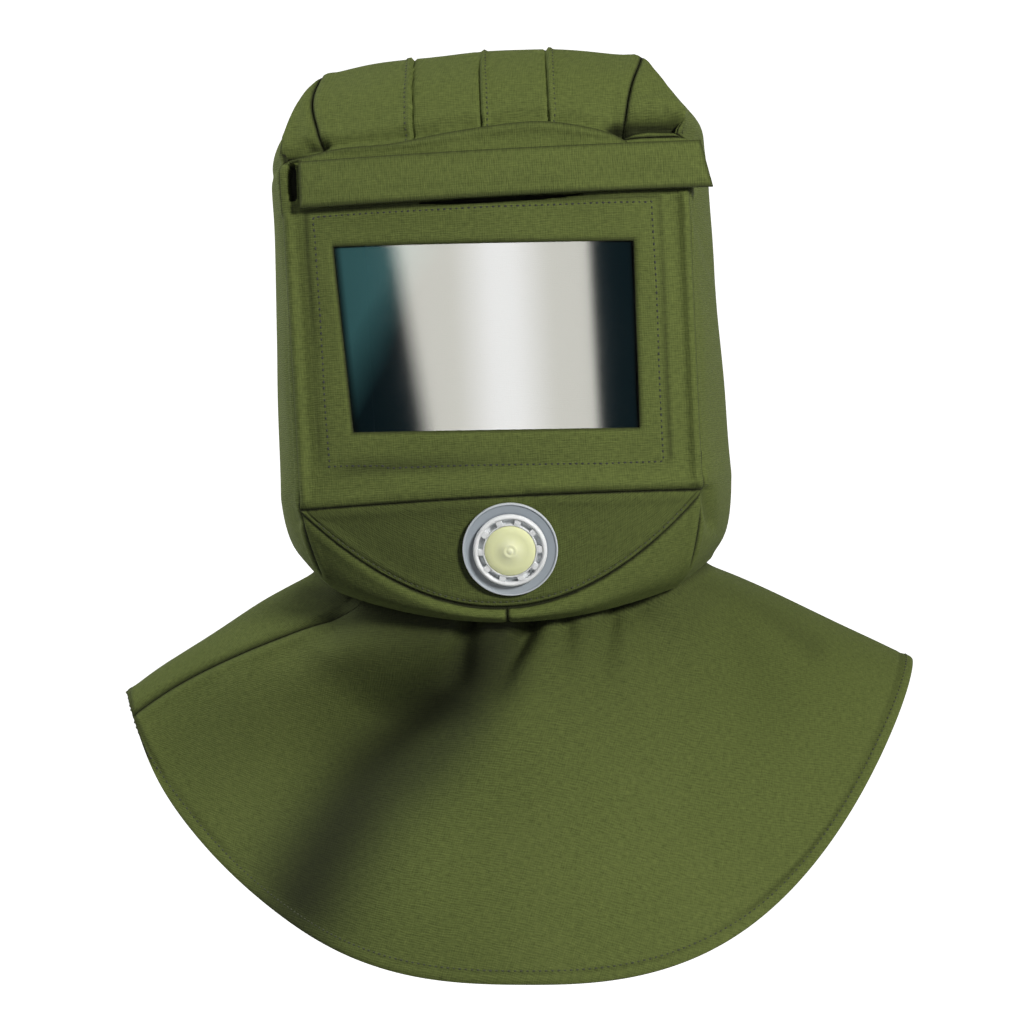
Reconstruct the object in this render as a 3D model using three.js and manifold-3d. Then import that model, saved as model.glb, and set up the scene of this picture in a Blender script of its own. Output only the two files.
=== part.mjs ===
// A canvas dust hood: a soft box of sewn panels over the head, a clear pane in a cloth pocket,
// an exhale valve in the chin and a short cape over the shoulders.
// Millimetres, +Z up. The hood faces -Y. Left and right are as seen from the front, so right is +X.
// The origin is the inside of the crown, where the top of the head bears.
import * as THREE from "three";
import { mergeVertices } from "three/addons/utils/BufferGeometryUtils.js";
import Module from "manifold-3d";

// Driving dimensions
const CLOTH = 1.6; // one layer of heavy canvas
const HEM_CLOTH = 2.6; // canvas turned over and stitched
const GAP = 0.3; // clearance between pieces that are sewn or held together
const SIDE_MID_Y = 0; // where the hood is widest, front to back
const REAR_ROUND = 3; // exponent of the rounded back of each section
const REAR_SEAM_ANGLE = THREE.MathUtils.degToRad(50); // back seam, from the widest point
const CROWN_DOME = 4; // rise of the crown's middle above its edge

// Sections of the hood from the neck up. zMid, zEdge, zSide and zBack are heights at the front
// centre, front seam, side and back. xSeam and yEdge place the front seam, half is the half
// width, bow is how far the front bulges, crownShare is where the crown's side seam lies, and
// lean is the rise from left to right for each millimetre across.
const SECTIONS = [
  { name: "neck", zMid: -339, zEdge: -322, zSide: -308, zBack: -303,
    xSeam: 97, half: 119, yEdge: -66, bow: 33, yBack: 101, crownShare: 0.74, lean: -0.035 },
  { name: "jaw", zMid: -336, zEdge: -307, zSide: -291, zBack: -286,
    xSeam: 109, half: 131, yEdge: -90, bow: 21, yBack: 109, crownShare: 0.74, lean: -0.02 },
  { name: "chin_hem", zMid: -330, zEdge: -268, zSide: -265, zBack: -261,
    xSeam: 118, half: 136, yEdge: -110, bow: -1, yBack: 114, crownShare: 0.74, lean: 0 },
  { name: "chin_seam", zMid: -266, zEdge: -268, zSide: -265, zBack: -261,
    xSeam: 118, half: 136, yEdge: -110, bow: 15, yBack: 114, crownShare: 0.74, lean: 0 },
  { name: "sill", zMid: -239, zEdge: -239, zSide: -237, zBack: -235,
    xSeam: 118, half: 136, yEdge: -112, bow: 13, yBack: 117, crownShare: 0.74, lean: 0 },
  { name: "lintel", zMid: -109, zEdge: -109, zSide: -109, zBack: -109,
    xSeam: 119, half: 133, yEdge: -112, bow: 13, yBack: 120, crownShare: 0.74, lean: 0 },
  { name: "brow", zMid: -63, zEdge: -63, zSide: -59, zBack: -59,
    xSeam: 119, half: 131, yEdge: -109, bow: 12, yBack: 114, crownShare: 0.74, lean: 0 },
  { name: "rise", zMid: -25, zEdge: -33, zSide: -27, zBack: -25,
    xSeam: 110, half: 119, yEdge: -95, bow: 10, yBack: 100, crownShare: 0.84, lean: 0 },
  { name: "top", zMid: -1, zEdge: -11, zSide: -9, zBack: -3,
    xSeam: 95, half: 100, yEdge: -70, bow: 6, yBack: 74, crownShare: 1, lean: 0.005 },
];
const [NECK, , CHIN_HEM, CHIN_SEAM, , LINTEL, BROW, , TOP] = SECTIONS.keys();

// Tucks sewn into the crown, at x across it, with the ridge each one raises.
const TUCK_HALF = 1.6; // half width of the step at a tuck's stitched line
const TUCK_RUN = 13; // width over which the cloth rises to it
const TUCKS = [
  { name: "left", x: -41, ridge: 2.4 },
  { name: "middle", x: -TUCK_HALF, ridge: 2.2 },
  { name: "right", x: 38, ridge: 2.4 },
];
const CROWN_HALF = 88; // half width of the crown strip at the brow

// Window opening, corner by corner, and the stitched edge of the pocket behind it.
const WINDOW = [
  { name: "bottom_left", x: -83, z: -224 },
  { name: "bottom_right", x: 82, z: -230 },
  { name: "top_right", x: 84, z: -123 },
  { name: "top_left", x: -89, z: -117 },
];
const POCKET = [
  { name: "bottom_left", x: -103, z: -244 },
  { name: "bottom_right", x: 99, z: -251 },
  { name: "top_right", x: 100, z: -98 },
  { name: "top_left", x: -104, z: -96 },
];
const WINDOW_STEPS = [12, 4, 12, 4]; // steps along the bottom, right, top and left of the window
const FRAME_RINGS = [0, 0.34, 0.7, 1]; // rings of the front panel, from the window to its seams
// Rings of the pocket from the window out, with how far each lies from its edge's depth to full.
const POCKET_RINGS = [
  { share: 0.1, deep: 1 },
  { share: 0.72, deep: 1 },
  { share: 0.86, deep: 0.4 },
  { share: 1, deep: 0 },
];
const PANE = 2; // thickness of the clear pane
const PANE_OFF = CLOTH + 2 * GAP; // its front face, behind the front panel's outer face
const PANE_LAP = 8; // how far the pane reaches past the window on each side

// The strip that hangs over the top of the window, and the pocket's lip that shows above it.
// topOff and bottomOff are how far the strip's edges stand off the front panel.
const FLAP = { left: -107, right: 124, top: -66, bottom: -94, topOff: 6.2, bottomOff: 9 };
const FLAP_GRID = { columns: 14, rows: 4 };
const LIP_BOTTOM = -79;
const LIP_ROWS = 4;
const LIP_LEAN = 0.06; // how far the lip leans back for each millimetre above the brow
const LIP = [
  { name: "left_end", x: -113, top: -65 },
  { name: "left_roll", x: -84, top: -60 },
  { name: "notch", x: -52, top: -59 },
  { name: "rise", x: -14, top: -54 },
  { name: "peak", x: 32, top: -51 },
  { name: "fall", x: 66, top: -57 },
  { name: "right_end", x: 84, top: -65 },
];

// Exhale valve, on the chin panel: its place, its radii, and heights along its own axis.
const ROUND = 40; // sides of a circle
const VALVE = { x: 4, z: -296, hole: 21, flange: 27.5, cage: 21.4, tube: 20.6, bore: 19 };
const VALVE_HEIGHTS = { tubeBack: -9, flangeTop: 3, hubTop: 4.3, cageTop: 6.4 };
const FLANGE_EDGE = 1.2; // bevel round the flange's face
const NUT = { outer: 25.5, back: -6.4, front: -2.6 };
const DRILL_LENGTH = 40;
const VALVE_SLOTS = { count: 10, inner: 15.7, outer: 18.6, share: 0.66, steps: 3 };
const MEMBRANE = { radius: 14.6, edge: 1, dome: 0.9, nub: 2.6, nubHeight: 1.6 };

// Cape: half width, depths and heights of its hem. It is turned by twist from neck to hem, its
// hem falls by lean for each millimetre to the right, and crest lifts it along the shoulders.
const HEM = { half: 242, front: 152, back: 150, zTip: -376, dropFront: 166, dropBack: 158, curve: 2.8,
  twist: THREE.MathUtils.degToRad(-17), lean: 0.05 };
const CREST = { left: 7, right: 3 };
const HEM_FOLD = 14; // depth of the turned hem
const CAPE_ROWS = 12;
const CAPE_COLUMNS = 12; // columns on each side of the cape's front and back centre lines
// Columns to the shoulder seams: left, from the front corner, and right, from the widest point.
const SHOULDER_SEAMS = { left: 2, right: 2 };
// Folds of the cape's front. across runs from -1 at the left to 1 at the right, from and to are
// places between 0 at the neck and 1 at the hem, and depth is how far the cloth is drawn in.
const FOLD_OPEN = 0.12; // share of the cape's length over which a fold opens
const FOLD_HOLD = 0.3; // share of a fold's own length that keeps its full depth
const FOLD_PULL = { aside: 0.5, down: 0.25 }; // how the cloth moves as a fold draws it back
const FOLDS = [
  { name: "main_valley", acrossNeck: -0.16, acrossHem: -0.78,
    halfNeck: 0.16, halfHem: 0.34, depth: 17, from: 0, to: 1.25 },
  { name: "throat_crease", acrossNeck: 0.36, acrossHem: -1.1,
    halfNeck: 0.1, halfHem: 0.2, depth: 9, from: 0, to: 0.34 },
  { name: "right_crease", acrossNeck: 0.58, acrossHem: -0.1,
    halfNeck: 0.09, halfHem: 0.2, depth: 7, from: 0, to: 0.42 },
  { name: "right_hollow", acrossNeck: 0.82, acrossHem: 0.9,
    halfNeck: 0.14, halfHem: 0.16, depth: 8, from: 0.03, to: 1.1 },
  { name: "left_hollow", acrossNeck: -0.76, acrossHem: -0.9,
    halfNeck: 0.14, halfHem: 0.08, depth: 7, from: 0.01, to: 0.6 },
  { name: "breast", acrossNeck: 0.14, acrossHem: 0.3,
    halfNeck: 0.3, halfHem: 0.55, depth: -10, from: 0.08, to: 1.6 },
];

const lerp = THREE.MathUtils.lerp;
const wasm = await Module();
wasm.setup();

// Sections between the rows of the table

function blendRows(a, b, share) {
  const out = {};
  for (const key of Object.keys(a)) if (key !== "name") out[key] = lerp(a[key], b[key], share);
  return out;
}

// A row at a fractional place in a list, on a Catmull-Rom curve through the rows.
function splineRow(rows, place) {
  const last = rows.length - 1;
  const i = Math.min(Math.max(Math.floor(place), 0), last - 1);
  const t = place - i;
  const [p0, p1, p2, p3] = [i - 1, i, i + 1, i + 2].map((k) => rows[Math.min(Math.max(k, 0), last)]);
  const out = {};
  for (const key of Object.keys(p1)) {
    if (key === "name") continue;
    const [a, b, c, d] = [p0[key], p1[key], p2[key], p3[key]];
    const bend = 2 * a - 5 * b + 4 * c - d;
    const twist = 3 * b - a - 3 * c + d;
    out[key] = 0.5 * (2 * b + (c - a) * t + bend * t * t + twist * t ** 3);
  }
  return out;
}

const LOWER_FRONT = SECTIONS.slice(NECK, CHIN_HEM + 1);
const UPPER_FRONT = SECTIONS.slice(CHIN_SEAM);
const AROUND = SECTIONS.filter((row) => row.name !== "chin_hem");

// The chin panel lies only in front, so elsewhere its two edges are one row.
function sectionAt(place, inFront) {
  if (inFront) {
    if (place <= CHIN_HEM) return splineRow(LOWER_FRONT, place);
    if (place < CHIN_SEAM) {
      return blendRows(SECTIONS[CHIN_HEM], SECTIONS[CHIN_SEAM], place - CHIN_HEM);
    }
    return splineRow(UPPER_FRONT, place - CHIN_SEAM);
  }
  if (place <= CHIN_HEM) return splineRow(AROUND, place);
  return splineRow(AROUND, Math.max(place, CHIN_SEAM) - 1);
}

function frontPoint(place, across) {
  const row = sectionAt(place, true);
  const bulge = 1 - across * across;
  const x = across * row.xSeam;
  const z = lerp(row.zEdge, row.zMid, bulge) + row.lean * x;
  return new THREE.Vector3(x, row.yEdge - row.bow * bulge, z);
}

function sidePoint(place, side, share) {
  const row = sectionAt(place, false);
  const rest = (1 - share) ** 2;
  const x = side * lerp(row.half, row.xSeam, rest);
  const z = lerp(row.zSide, row.zEdge, rest) + row.lean * x;
  return new THREE.Vector3(x, lerp(row.yEdge, SIDE_MID_Y, share), z);
}

function rearPoint(place, angle) {
  const row = sectionAt(place, false);
  const [c, s] = [Math.cos(angle), Math.sin(angle)];
  const [wide, deep] = [Math.abs(c) / row.half, s / (row.yBack - SIDE_MID_Y)];
  const reach = (wide ** REAR_ROUND + deep ** REAR_ROUND) ** (-1 / REAR_ROUND);
  const x = reach * c;
  const z = lerp(row.zSide, row.zBack, s * s) + row.lean * x;
  return new THREE.Vector3(x, SIDE_MID_Y + reach * s, z);
}

// Columns around the hood: front from left to right, right side, back, left side.

function tuckStops() {
  const stops = [-1, (TUCKS[0].x / CROWN_HALF - 1) / 2];
  TUCKS.forEach((tuck, i) => {
    stops.push((tuck.x - TUCK_HALF) / CROWN_HALF, (tuck.x + TUCK_HALF) / CROWN_HALF);
    const next = TUCKS[i + 1] ? TUCKS[i + 1].x / CROWN_HALF : 1;
    stops.push((tuck.x / CROWN_HALF + next) / 2);
  });
  return [...stops, 1];
}

const CHEEK_STEPS = 2;
const SIDE_STEPS = 4;
const REAR_STEPS = 4;
const steps = (count) => Array.from({ length: count }, (_, i) => i / count);

function makeColumns(stops, cheek, side, rear) {
  const half = Math.PI / 2 - REAR_SEAM_ANGLE;
  const crown = stops.slice(0, -1);
  const seam = Math.PI - REAR_SEAM_ANGLE;
  return [
    ...steps(cheek).map((share) => ({ zone: "cheek", side: -1, share: 1 - share })),
    ...crown.map((share) => ({ zone: "crown", side: Math.sign(share) || 1, share })),
    ...steps(cheek).map((share) => ({ zone: "cheek", side: 1, share })),
    ...steps(side).map((share) => ({ zone: "side", side: 1, share })),
    ...steps(rear).map((share) => ({ zone: "rear", side: 1, angle: share * REAR_SEAM_ANGLE })),
    ...crown.map((share) => ({ zone: "spine", side: 0, angle: Math.PI / 2 + share * half })),
    ...steps(rear).map((share) => ({ zone: "rear", side: -1, angle: lerp(seam, Math.PI, share) })),
    ...steps(side).map((share) => ({ zone: "side", side: -1, share: 1 - share })),
  ];
}

function hoodPoint(place, column) {
  if (column.zone === "crown" || column.zone === "cheek") {
    const share = sectionAt(place, true).crownShare;
    const across = column.zone === "crown"
      ? column.share * share
      : column.side * lerp(share, 1, column.share);
    return frontPoint(place, across);
  }
  if (column.zone === "side") return sidePoint(place, column.side, column.share);
  return rearPoint(place, column.angle);
}

// A form is a set of shared points and of faces that each belong to a panel.

class Form {
  points = [];
  faces = [];
  index = new Map();

  add(point) {
    const key = point.toArray().map((value) => Math.round(value * 1000)).join(" ");
    if (!this.index.has(key)) this.index.set(key, this.points.push(point) - 1);
    return this.index.get(key);
  }

  face(panel, corners) {
    const ring = corners.filter((corner, i) => corner !== corners[(i + 1) % corners.length]);
    if (new Set(ring).size > 2) this.faces.push({ panel, ring });
  }

  // Area-weighted normals over the whole form, so that panels meet on a mitre.
  normals() {
    const sums = this.points.map(() => new THREE.Vector3());
    for (const { ring } of this.faces) {
      const [first, ...rest] = ring.map((i) => this.points[i]);
      const area = new THREE.Vector3();
      for (let k = 0; k + 1 < rest.length; k++) {
        area.add(rest[k].clone().sub(first).cross(rest[k + 1].clone().sub(first)));
      }
      ring.forEach((i) => sums[i].add(area));
    }
    return sums.map((sum) => sum.normalize());
  }

  // One panel as a closed wall, its edges drawn in to leave a gap at the seams.
  wall(panel, thickness) {
    const normals = this.normals();
    const faces = this.faces.filter((face) => face.panel === panel).map((face) => face.ring);
    const pairs = faces.flatMap((ring) => ring.map((a, i) => [a, ring[(i + 1) % ring.length]]));
    const known = new Set(pairs.map(([a, b]) => a + ">" + b));
    const rim = pairs.filter(([a, b]) => !known.has(b + ">" + a));
    const inward = new Map(rim.flat().map((i) => [i, new THREE.Vector3()]));
    for (const ring of faces) {
      const centre = new THREE.Vector3();
      ring.forEach((i) => centre.addScaledVector(this.points[i], 1 / ring.length));
      for (const i of ring) inward.get(i)?.add(centre.clone().sub(this.points[i]));
    }
    const order = new Map([...new Set(faces.flat())].map((i, place) => [i, place]));
    const count = order.size;
    const outer = [];
    const inner = [];
    for (const i of order.keys()) {
      const point = this.points[i].clone();
      if (inward.has(i)) point.addScaledVector(inward.get(i).normalize(), GAP);
      outer.push(point);
      inner.push(point.clone().addScaledVector(normals[i], -thickness(i)));
    }
    const triangles = [];
    const fan = (ring) => {
      for (let k = 1; k + 1 < ring.length; k++) triangles.push(ring[0], ring[k], ring[k + 1]);
    };
    for (const ring of faces) {
      const places = ring.map((i) => order.get(i));
      fan(places);
      fan(places.map((place) => place + count).reverse());
    }
    // Two panels split the walls that face each other at a seam on the same diagonal.
    for (const [first, second] of rim) {
      const [a, b] = [order.get(first), order.get(second)];
      fan(first > second ? [b, a, a + count, b + count] : [a, a + count, b + count, b]);
    }
    return geometryOf([...outer, ...inner], triangles);
  }
}

function geometryOf(points, triangles) {
  const geometry = new THREE.BufferGeometry().setFromPoints(points);
  geometry.setIndex(triangles);
  return geometry;
}

// Boolean joins and cuts

const WELD = 1e-3; // points closer than this are one

function solidOf(geometry, matrix = new THREE.Matrix4()) {
  const bare = geometry.clone();
  bare.deleteAttribute("normal");
  bare.deleteAttribute("uv");
  const merged = mergeVertices(bare.applyMatrix4(matrix), WELD);
  return new wasm.Manifold(new wasm.Mesh({
    numProp: 3,
    vertProperties: merged.attributes.position.array,
    triVerts: new Uint32Array(merged.index.array),
  }));
}

function geometryFrom(solid) {
  const mesh = solid.getMesh();
  const geometry = new THREE.BufferGeometry();
  geometry.setAttribute("position", new THREE.BufferAttribute(mesh.vertProperties, 3));
  geometry.setIndex(new THREE.BufferAttribute(mesh.triVerts, 1));
  return geometry;
}

// The hood's one form, shared by its five panels

const COLUMNS = makeColumns(tuckStops(), CHEEK_STEPS, SIDE_STEPS, REAR_STEPS);
const ROW_STEPS = 2; // rows from each section to the next
const CHIN_STEPS = 3; // rows across the chin panel
const PLACES = SECTIONS.slice(0, TOP).flatMap((_, i) => (
  steps(i === CHIN_HEM ? CHIN_STEPS : ROW_STEPS).map((share) => i + share)
)).concat(TOP);

// A tuck is a step: the cloth rises towards it and drops at its stitched line.
function tuckRidge(x) {
  const ridges = TUCKS.map((tuck) => {
    const before = (tuck.x - TUCK_HALF - x) / TUCK_RUN;
    return before > -WELD && before < 1 ? tuck.ridge * (1 - before) ** 2 : 0;
  });
  return Math.max(...ridges);
}

function panelOf(place, column) {
  const side = column.side < 0 ? "side_left" : "side_right";
  const front = column.zone === "crown" || column.zone === "cheek";
  if (column.zone === "spine") return "crown";
  if (!front || place < CHIN_HEM) return side;
  if (place < CHIN_SEAM) return "chin_panel";
  if (place < BROW) return "front_panel";
  return column.zone === "crown" ? "crown" : side;
}

const outlinePoint = (corners, side, share) => {
  const [a, b] = [corners[side], corners[(side + 1) % corners.length]];
  return { x: lerp(a.x, b.x, share), z: lerp(a.z, b.z, share) };
};

// The flat front's outer face over any x and z between chin and brow.
function frontFace(x, z) {
  const rows = UPPER_FRONT;
  let i = 0;
  while (i < rows.length - 2 && rows[i + 1].zMid < z) i++;
  const share = (z - rows[i].zMid) / (rows[i + 1].zMid - rows[i].zMid);
  const row = splineRow(rows, i + THREE.MathUtils.clamp(share, 0, 1));
  return row.yEdge - row.bow * (1 - (x / row.xSeam) ** 2);
}

// Faces of a frame, from its points round the opening and their rings outwards.
function addLoop(form, panel, loop) {
  loop.forEach((rings, i) => {
    const next = loop[(i + 1) % loop.length];
    for (let k = 0; k + 1 < rings.length; k++) {
      form.face(panel, [rings[k], rings[k + 1], next[k + 1], next[k]]);
    }
  });
}

function addFrontPanel(form, grid) {
  const low = PLACES.indexOf(CHIN_SEAM);
  const high = PLACES.indexOf(BROW);
  const right = COLUMNS.findIndex((column) => column.zone === "side");
  const sides = [
    grid[low].slice(0, right + 1),
    grid.slice(low, high + 1).map((row) => row[right]),
    grid[high].slice(0, right + 1).reverse(),
    grid.slice(low, high + 1).map((row) => row[0]).reverse(),
  ];
  const loop = sides.flatMap((side, k) => side.slice(0, -1).map((outer, i) => {
    const edge = outlinePoint(WINDOW, k, i / (side.length - 1));
    const rim = form.points[outer];
    return FRAME_RINGS.map((share) => {
      if (share === 1) return outer;
      const [x, z] = [lerp(edge.x, rim.x, share), lerp(edge.z, rim.z, share)];
      return form.add(new THREE.Vector3(x, frontFace(x, z), z));
    });
  }));
  addLoop(form, "front_panel", loop);
}

// The crown's top closes the last ring from front to back.
function addCrownTop(form, ring) {
  const at = (zone, side) => COLUMNS.findIndex((column) => column.zone === zone && column.side === side);
  const first = COLUMNS.findIndex((column) => column.zone === "crown");
  const rightSide = at("side", 1);
  const spine = COLUMNS.findIndex((column) => column.zone === "spine");
  const leftRear = at("rear", -1);
  const count = leftRear - spine;
  const front = Array.from({ length: count + 1 }, (_, i) => ring[first + i]);
  const back = Array.from({ length: count + 1 }, (_, i) => ring[(leftRear - i) % ring.length]);
  const rows = spine - rightSide;
  const right = Array.from({ length: rows + 1 }, (_, i) => ring[rightSide + i]);
  const left = Array.from({ length: rows + 1 }, (_, i) => ring[(ring.length - i) % ring.length]);
  const p = (i) => form.points[i];
  const grid = right.map((_, r) => front.map((_, c) => {
    if (r === 0) return front[c];
    if (r === rows) return back[c];
    if (c === 0) return left[r];
    if (c === count) return right[r];
    const [g, f] = [r / rows, c / count];
    const point = new THREE.Vector3()
      .addScaledVector(p(front[c]), 1 - g)
      .addScaledVector(p(back[c]), g)
      .addScaledVector(p(left[r]), 1 - f)
      .addScaledVector(p(right[r]), f)
      .addScaledVector(p(front[0]), -(1 - g) * (1 - f))
      .addScaledVector(p(front[count]), -(1 - g) * f)
      .addScaledVector(p(back[0]), -g * (1 - f))
      .addScaledVector(p(back[count]), -g * f);
    const dome = 4 * Math.sqrt(g * (1 - g) * f * (1 - f));
    point.z += CROWN_DOME * dome + tuckRidge(point.x) * (1 - g);
    return form.add(point);
  }));
  for (let r = 0; r < rows; r++) {
    for (let c = 0; c < count; c++) {
      form.face("crown", [grid[r][c], grid[r][c + 1], grid[r + 1][c + 1], grid[r + 1][c]]);
    }
  }
}

function makeHood() {
  const form = new Form();
  const grid = PLACES.map((place) => COLUMNS.map((column) => {
    const point = hoodPoint(place, column);
    if (place > BROW && column.zone === "crown") point.y -= tuckRidge(point.x);
    return form.add(point);
  }));
  PLACES.slice(0, -1).forEach((place, r) => COLUMNS.forEach((column, c) => {
    const panel = panelOf(place, column);
    const next = (c + 1) % COLUMNS.length;
    if (panel === "front_panel") return;
    form.face(panel, [grid[r][c], grid[r][next], grid[r + 1][next], grid[r + 1][c]]);
  }));
  addFrontPanel(form, grid);
  addCrownTop(form, grid[PLACES.indexOf(TOP)]);
  return form;
}

// Cape

const smooth = (share) => THREE.MathUtils.smoothstep(share, 0, 1);

// How far the folds draw the cape's front in, at a place across and along it.
function foldDepth(across, along) {
  return FOLDS.reduce((sum, fold) => {
    const centre = lerp(fold.acrossNeck, fold.acrossHem, along);
    const half = lerp(fold.halfNeck, fold.halfHem, along);
    const off = (across - centre) / half;
    const open = smooth((along - fold.from) / FOLD_OPEN);
    const close = smooth((along / fold.to - FOLD_HOLD) / (1 - FOLD_HOLD));
    return sum + fold.depth * Math.exp(-off * off) * open * (1 - close);
  }, 0);
}

function hemPoint(angle) {
  const s = Math.sin(angle);
  const front = s < 0;
  const depth = front ? HEM.front : HEM.back;
  const drop = front ? HEM.dropFront : HEM.dropBack;
  const x = HEM.half * Math.cos(angle);
  const fall = drop * (1 - Math.abs(Math.cos(angle)) ** HEM.curve);
  return new THREE.Vector3(x, depth * s, HEM.zTip - fall - HEM.lean * x * Math.abs(s));
}

// Angle round the neck, with the oval drawn out to a circle.
function neckAngle(point) {
  const { half, yEdge, bow, yBack } = SECTIONS[NECK];
  return Math.atan2(point.y / (point.y < 0 ? bow - yEdge : yBack), point.x / half);
}

function capePoint(neck, along) {
  const start = neckAngle(neck);
  const angle = start + HEM.twist * along;
  const [across, s] = [Math.cos(angle), Math.sin(angle)];
  const point = neck.clone().lerp(hemPoint(start + HEM.twist), along);
  const crest = across < 0 ? CREST.left : CREST.right;
  point.z += crest * Math.abs(across) ** 3 * 4 * along * (1 - along) - GAP;
  if (s > 0) return point;
  const out = new THREE.Vector3(across * FOLD_PULL.aside, s, FOLD_PULL.down).normalize();
  return point.addScaledVector(out, -foldDepth(across, along));
}

function makeCape() {
  const form = new Form();
  const stops = Array.from({ length: CAPE_COLUMNS * 2 + 1 }, (_, i) => i / CAPE_COLUMNS - 1);
  const columns = makeColumns(stops, CHEEK_STEPS * 2, SIDE_STEPS * 2, REAR_STEPS);
  const hemStart = 1 - HEM_FOLD / HEM.dropFront;
  const alongs = [...steps(CAPE_ROWS - 2).map((share) => share * hemStart), hemStart, 1];
  const grid = alongs.map((along) => (
    columns.map((column) => form.add(capePoint(hoodPoint(NECK, column), along)))
  ));
  const widest = columns.findIndex((column) => column.zone === "rear");
  const rightSeam = widest + SHOULDER_SEAMS.right;
  const leftSeam = columns.length - SHOULDER_SEAMS.left;
  columns.forEach((_, c) => {
    const next = (c + 1) % columns.length;
    const panel = c >= rightSeam && c < leftSeam ? "cape_back" : "cape_front";
    for (let r = 0; r + 1 < alongs.length; r++) {
      form.face(panel, [grid[r + 1][c], grid[r + 1][next], grid[r][next], grid[r][c]]);
    }
  });
  const hemPoints = new Set(grid.slice(-2).flat());
  return { form, thickness: (i) => (hemPoints.has(i) ? HEM_CLOTH : CLOTH) };
}

// Window pocket, pane, flap and lip

// A sheet over a grid of x and z, from an outer face to an inner face behind it.
function sheetGeometry(rows, outerY, thick) {
  const flat = rows.flat();
  const outer = flat.map(({ x, z }) => new THREE.Vector3(x, outerY(x, z), z));
  const inner = outer.map((point) => point.clone().setY(point.y + thick));
  const [width, height, count] = [rows[0].length, rows.length, flat.length];
  const grid = rows.map((row, r) => row.map((_, c) => r * width + c));
  const triangles = [];
  const quad = (a, b, c, d) => triangles.push(a, b, c, a, c, d);
  for (let r = 0; r + 1 < height; r++) {
    for (let c = 0; c + 1 < width; c++) {
      const [a, b, e, d] = [grid[r][c], grid[r][c + 1], grid[r + 1][c + 1], grid[r + 1][c]];
      quad(a, b, e, d);
      quad(d + count, e + count, b + count, a + count);
    }
  }
  const rim = [
    ...grid[0],
    ...grid.slice(1).map((row) => row[width - 1]),
    ...grid[height - 1].slice(0, -1).reverse(),
    ...grid.slice(1, -1).map((row) => row[0]).reverse(),
  ];
  rim.forEach((a, i) => {
    const b = rim[(i + 1) % rim.length];
    quad(b, a, a + count, b + count);
  });
  return geometryOf([...outer, ...inner], triangles);
}

function paneRows() {
  const [xs, zs] = [WINDOW.map(({ x }) => x), WINDOW.map(({ z }) => z)];
  const left = Math.min(...xs) - PANE_LAP;
  const right = Math.max(...xs) + PANE_LAP;
  return [Math.min(...zs) - PANE_LAP, Math.max(...zs) + PANE_LAP].map((z) => (
    [...steps(WINDOW_STEPS[0]), 1].map((share) => ({ x: lerp(left, right, share), z }))
  ));
}

// The pane is rolled round an upright axis, with the front's own bow.
function paneFace(x) {
  const row = SECTIONS[LINTEL];
  return row.yEdge - row.bow * (1 - (x / row.xSeam) ** 2) + PANE_OFF;
}

// A shallow cloth tray behind the pane, sewn to the front panel along its edge.
function pocketGeometry() {
  const form = new Form();
  const deepest = PANE_OFF + PANE + 2 * GAP;
  const shallowest = CLOTH + 2 * GAP;
  const loop = WINDOW_STEPS.flatMap((count, side) => steps(count).map((along) => {
    const inner = outlinePoint(WINDOW, side, along);
    const outer = outlinePoint(POCKET, side, along);
    return POCKET_RINGS.map(({ share, deep }) => {
      const [x, z] = [lerp(inner.x, outer.x, share), lerp(inner.z, outer.z, share)];
      return form.add(new THREE.Vector3(x, frontFace(x, z) + lerp(shallowest, deepest, deep), z));
    });
  }));
  addLoop(form, "pocket", loop);
  return form.wall("pocket", () => CLOTH);
}

function flapGeometry() {
  const rows = [...steps(FLAP_GRID.rows), 1].map((up) => (
    [...steps(FLAP_GRID.columns), 1].map((share) => ({
      x: lerp(FLAP.left, FLAP.right, share),
      z: lerp(FLAP.bottom, FLAP.top, up),
    }))
  ));
  const off = (z) => THREE.MathUtils.mapLinear(z, FLAP.bottom, FLAP.top, FLAP.bottomOff, FLAP.topOff);
  return sheetGeometry(rows, (x, z) => frontFace(x, z) - off(z), HEM_CLOTH);
}

function lipGeometry() {
  const top = new THREE.CatmullRomCurve3(LIP.map(({ x, top: z }) => new THREE.Vector3(x, 0, z)));
  const crest = top.getPoints(LIP.length * 2);
  const rows = [...steps(LIP_ROWS), 1].map((up) => (
    crest.map(({ x, z }) => ({ x, z: lerp(LIP_BOTTOM, z, up) }))
  ));
  const brow = SECTIONS[BROW].zMid;
  const lean = (z) => LIP_LEAN * Math.max(0, z - brow);
  const face = (x, z) => frontFace(x, Math.min(z, brow)) - HEM_CLOTH - GAP + lean(z);
  return sheetGeometry(rows, face, HEM_CLOTH);
}

// Exhale valve, built along its own +Z

function chinPlace() {
  const across = VALVE.x / SECTIONS[CHIN_SEAM].xSeam;
  const [low, high] = [frontPoint(CHIN_HEM, across), frontPoint(CHIN_SEAM, across)];
  const share = (VALVE.z - low.z) / (high.z - low.z);
  const point = low.clone().lerp(high, share);
  return { point, tilt: Math.atan2(low.y - high.y, high.z - low.z) };
}

// A shape turned round the valve's axis, from a profile of radius and height.
function turned(profile) {
  const points = profile.map(([radius, height]) => new THREE.Vector2(radius, height));
  return new THREE.LatheGeometry(points, ROUND).rotateX(Math.PI / 2);
}

// A ring turned from a closed profile.
const ringGeometry = (profile) => turned([...profile, profile[0]]);

function flangeGeometry() {
  const [inner, outer, bottom, top] = [VALVE.tube + GAP, VALVE.flange, GAP, VALVE_HEIGHTS.flangeTop];
  return ringGeometry([
    [inner, bottom],
    [outer, bottom],
    [outer, top - FLANGE_EDGE],
    [outer - FLANGE_EDGE, top],
    [inner, top],
  ]);
}

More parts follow.
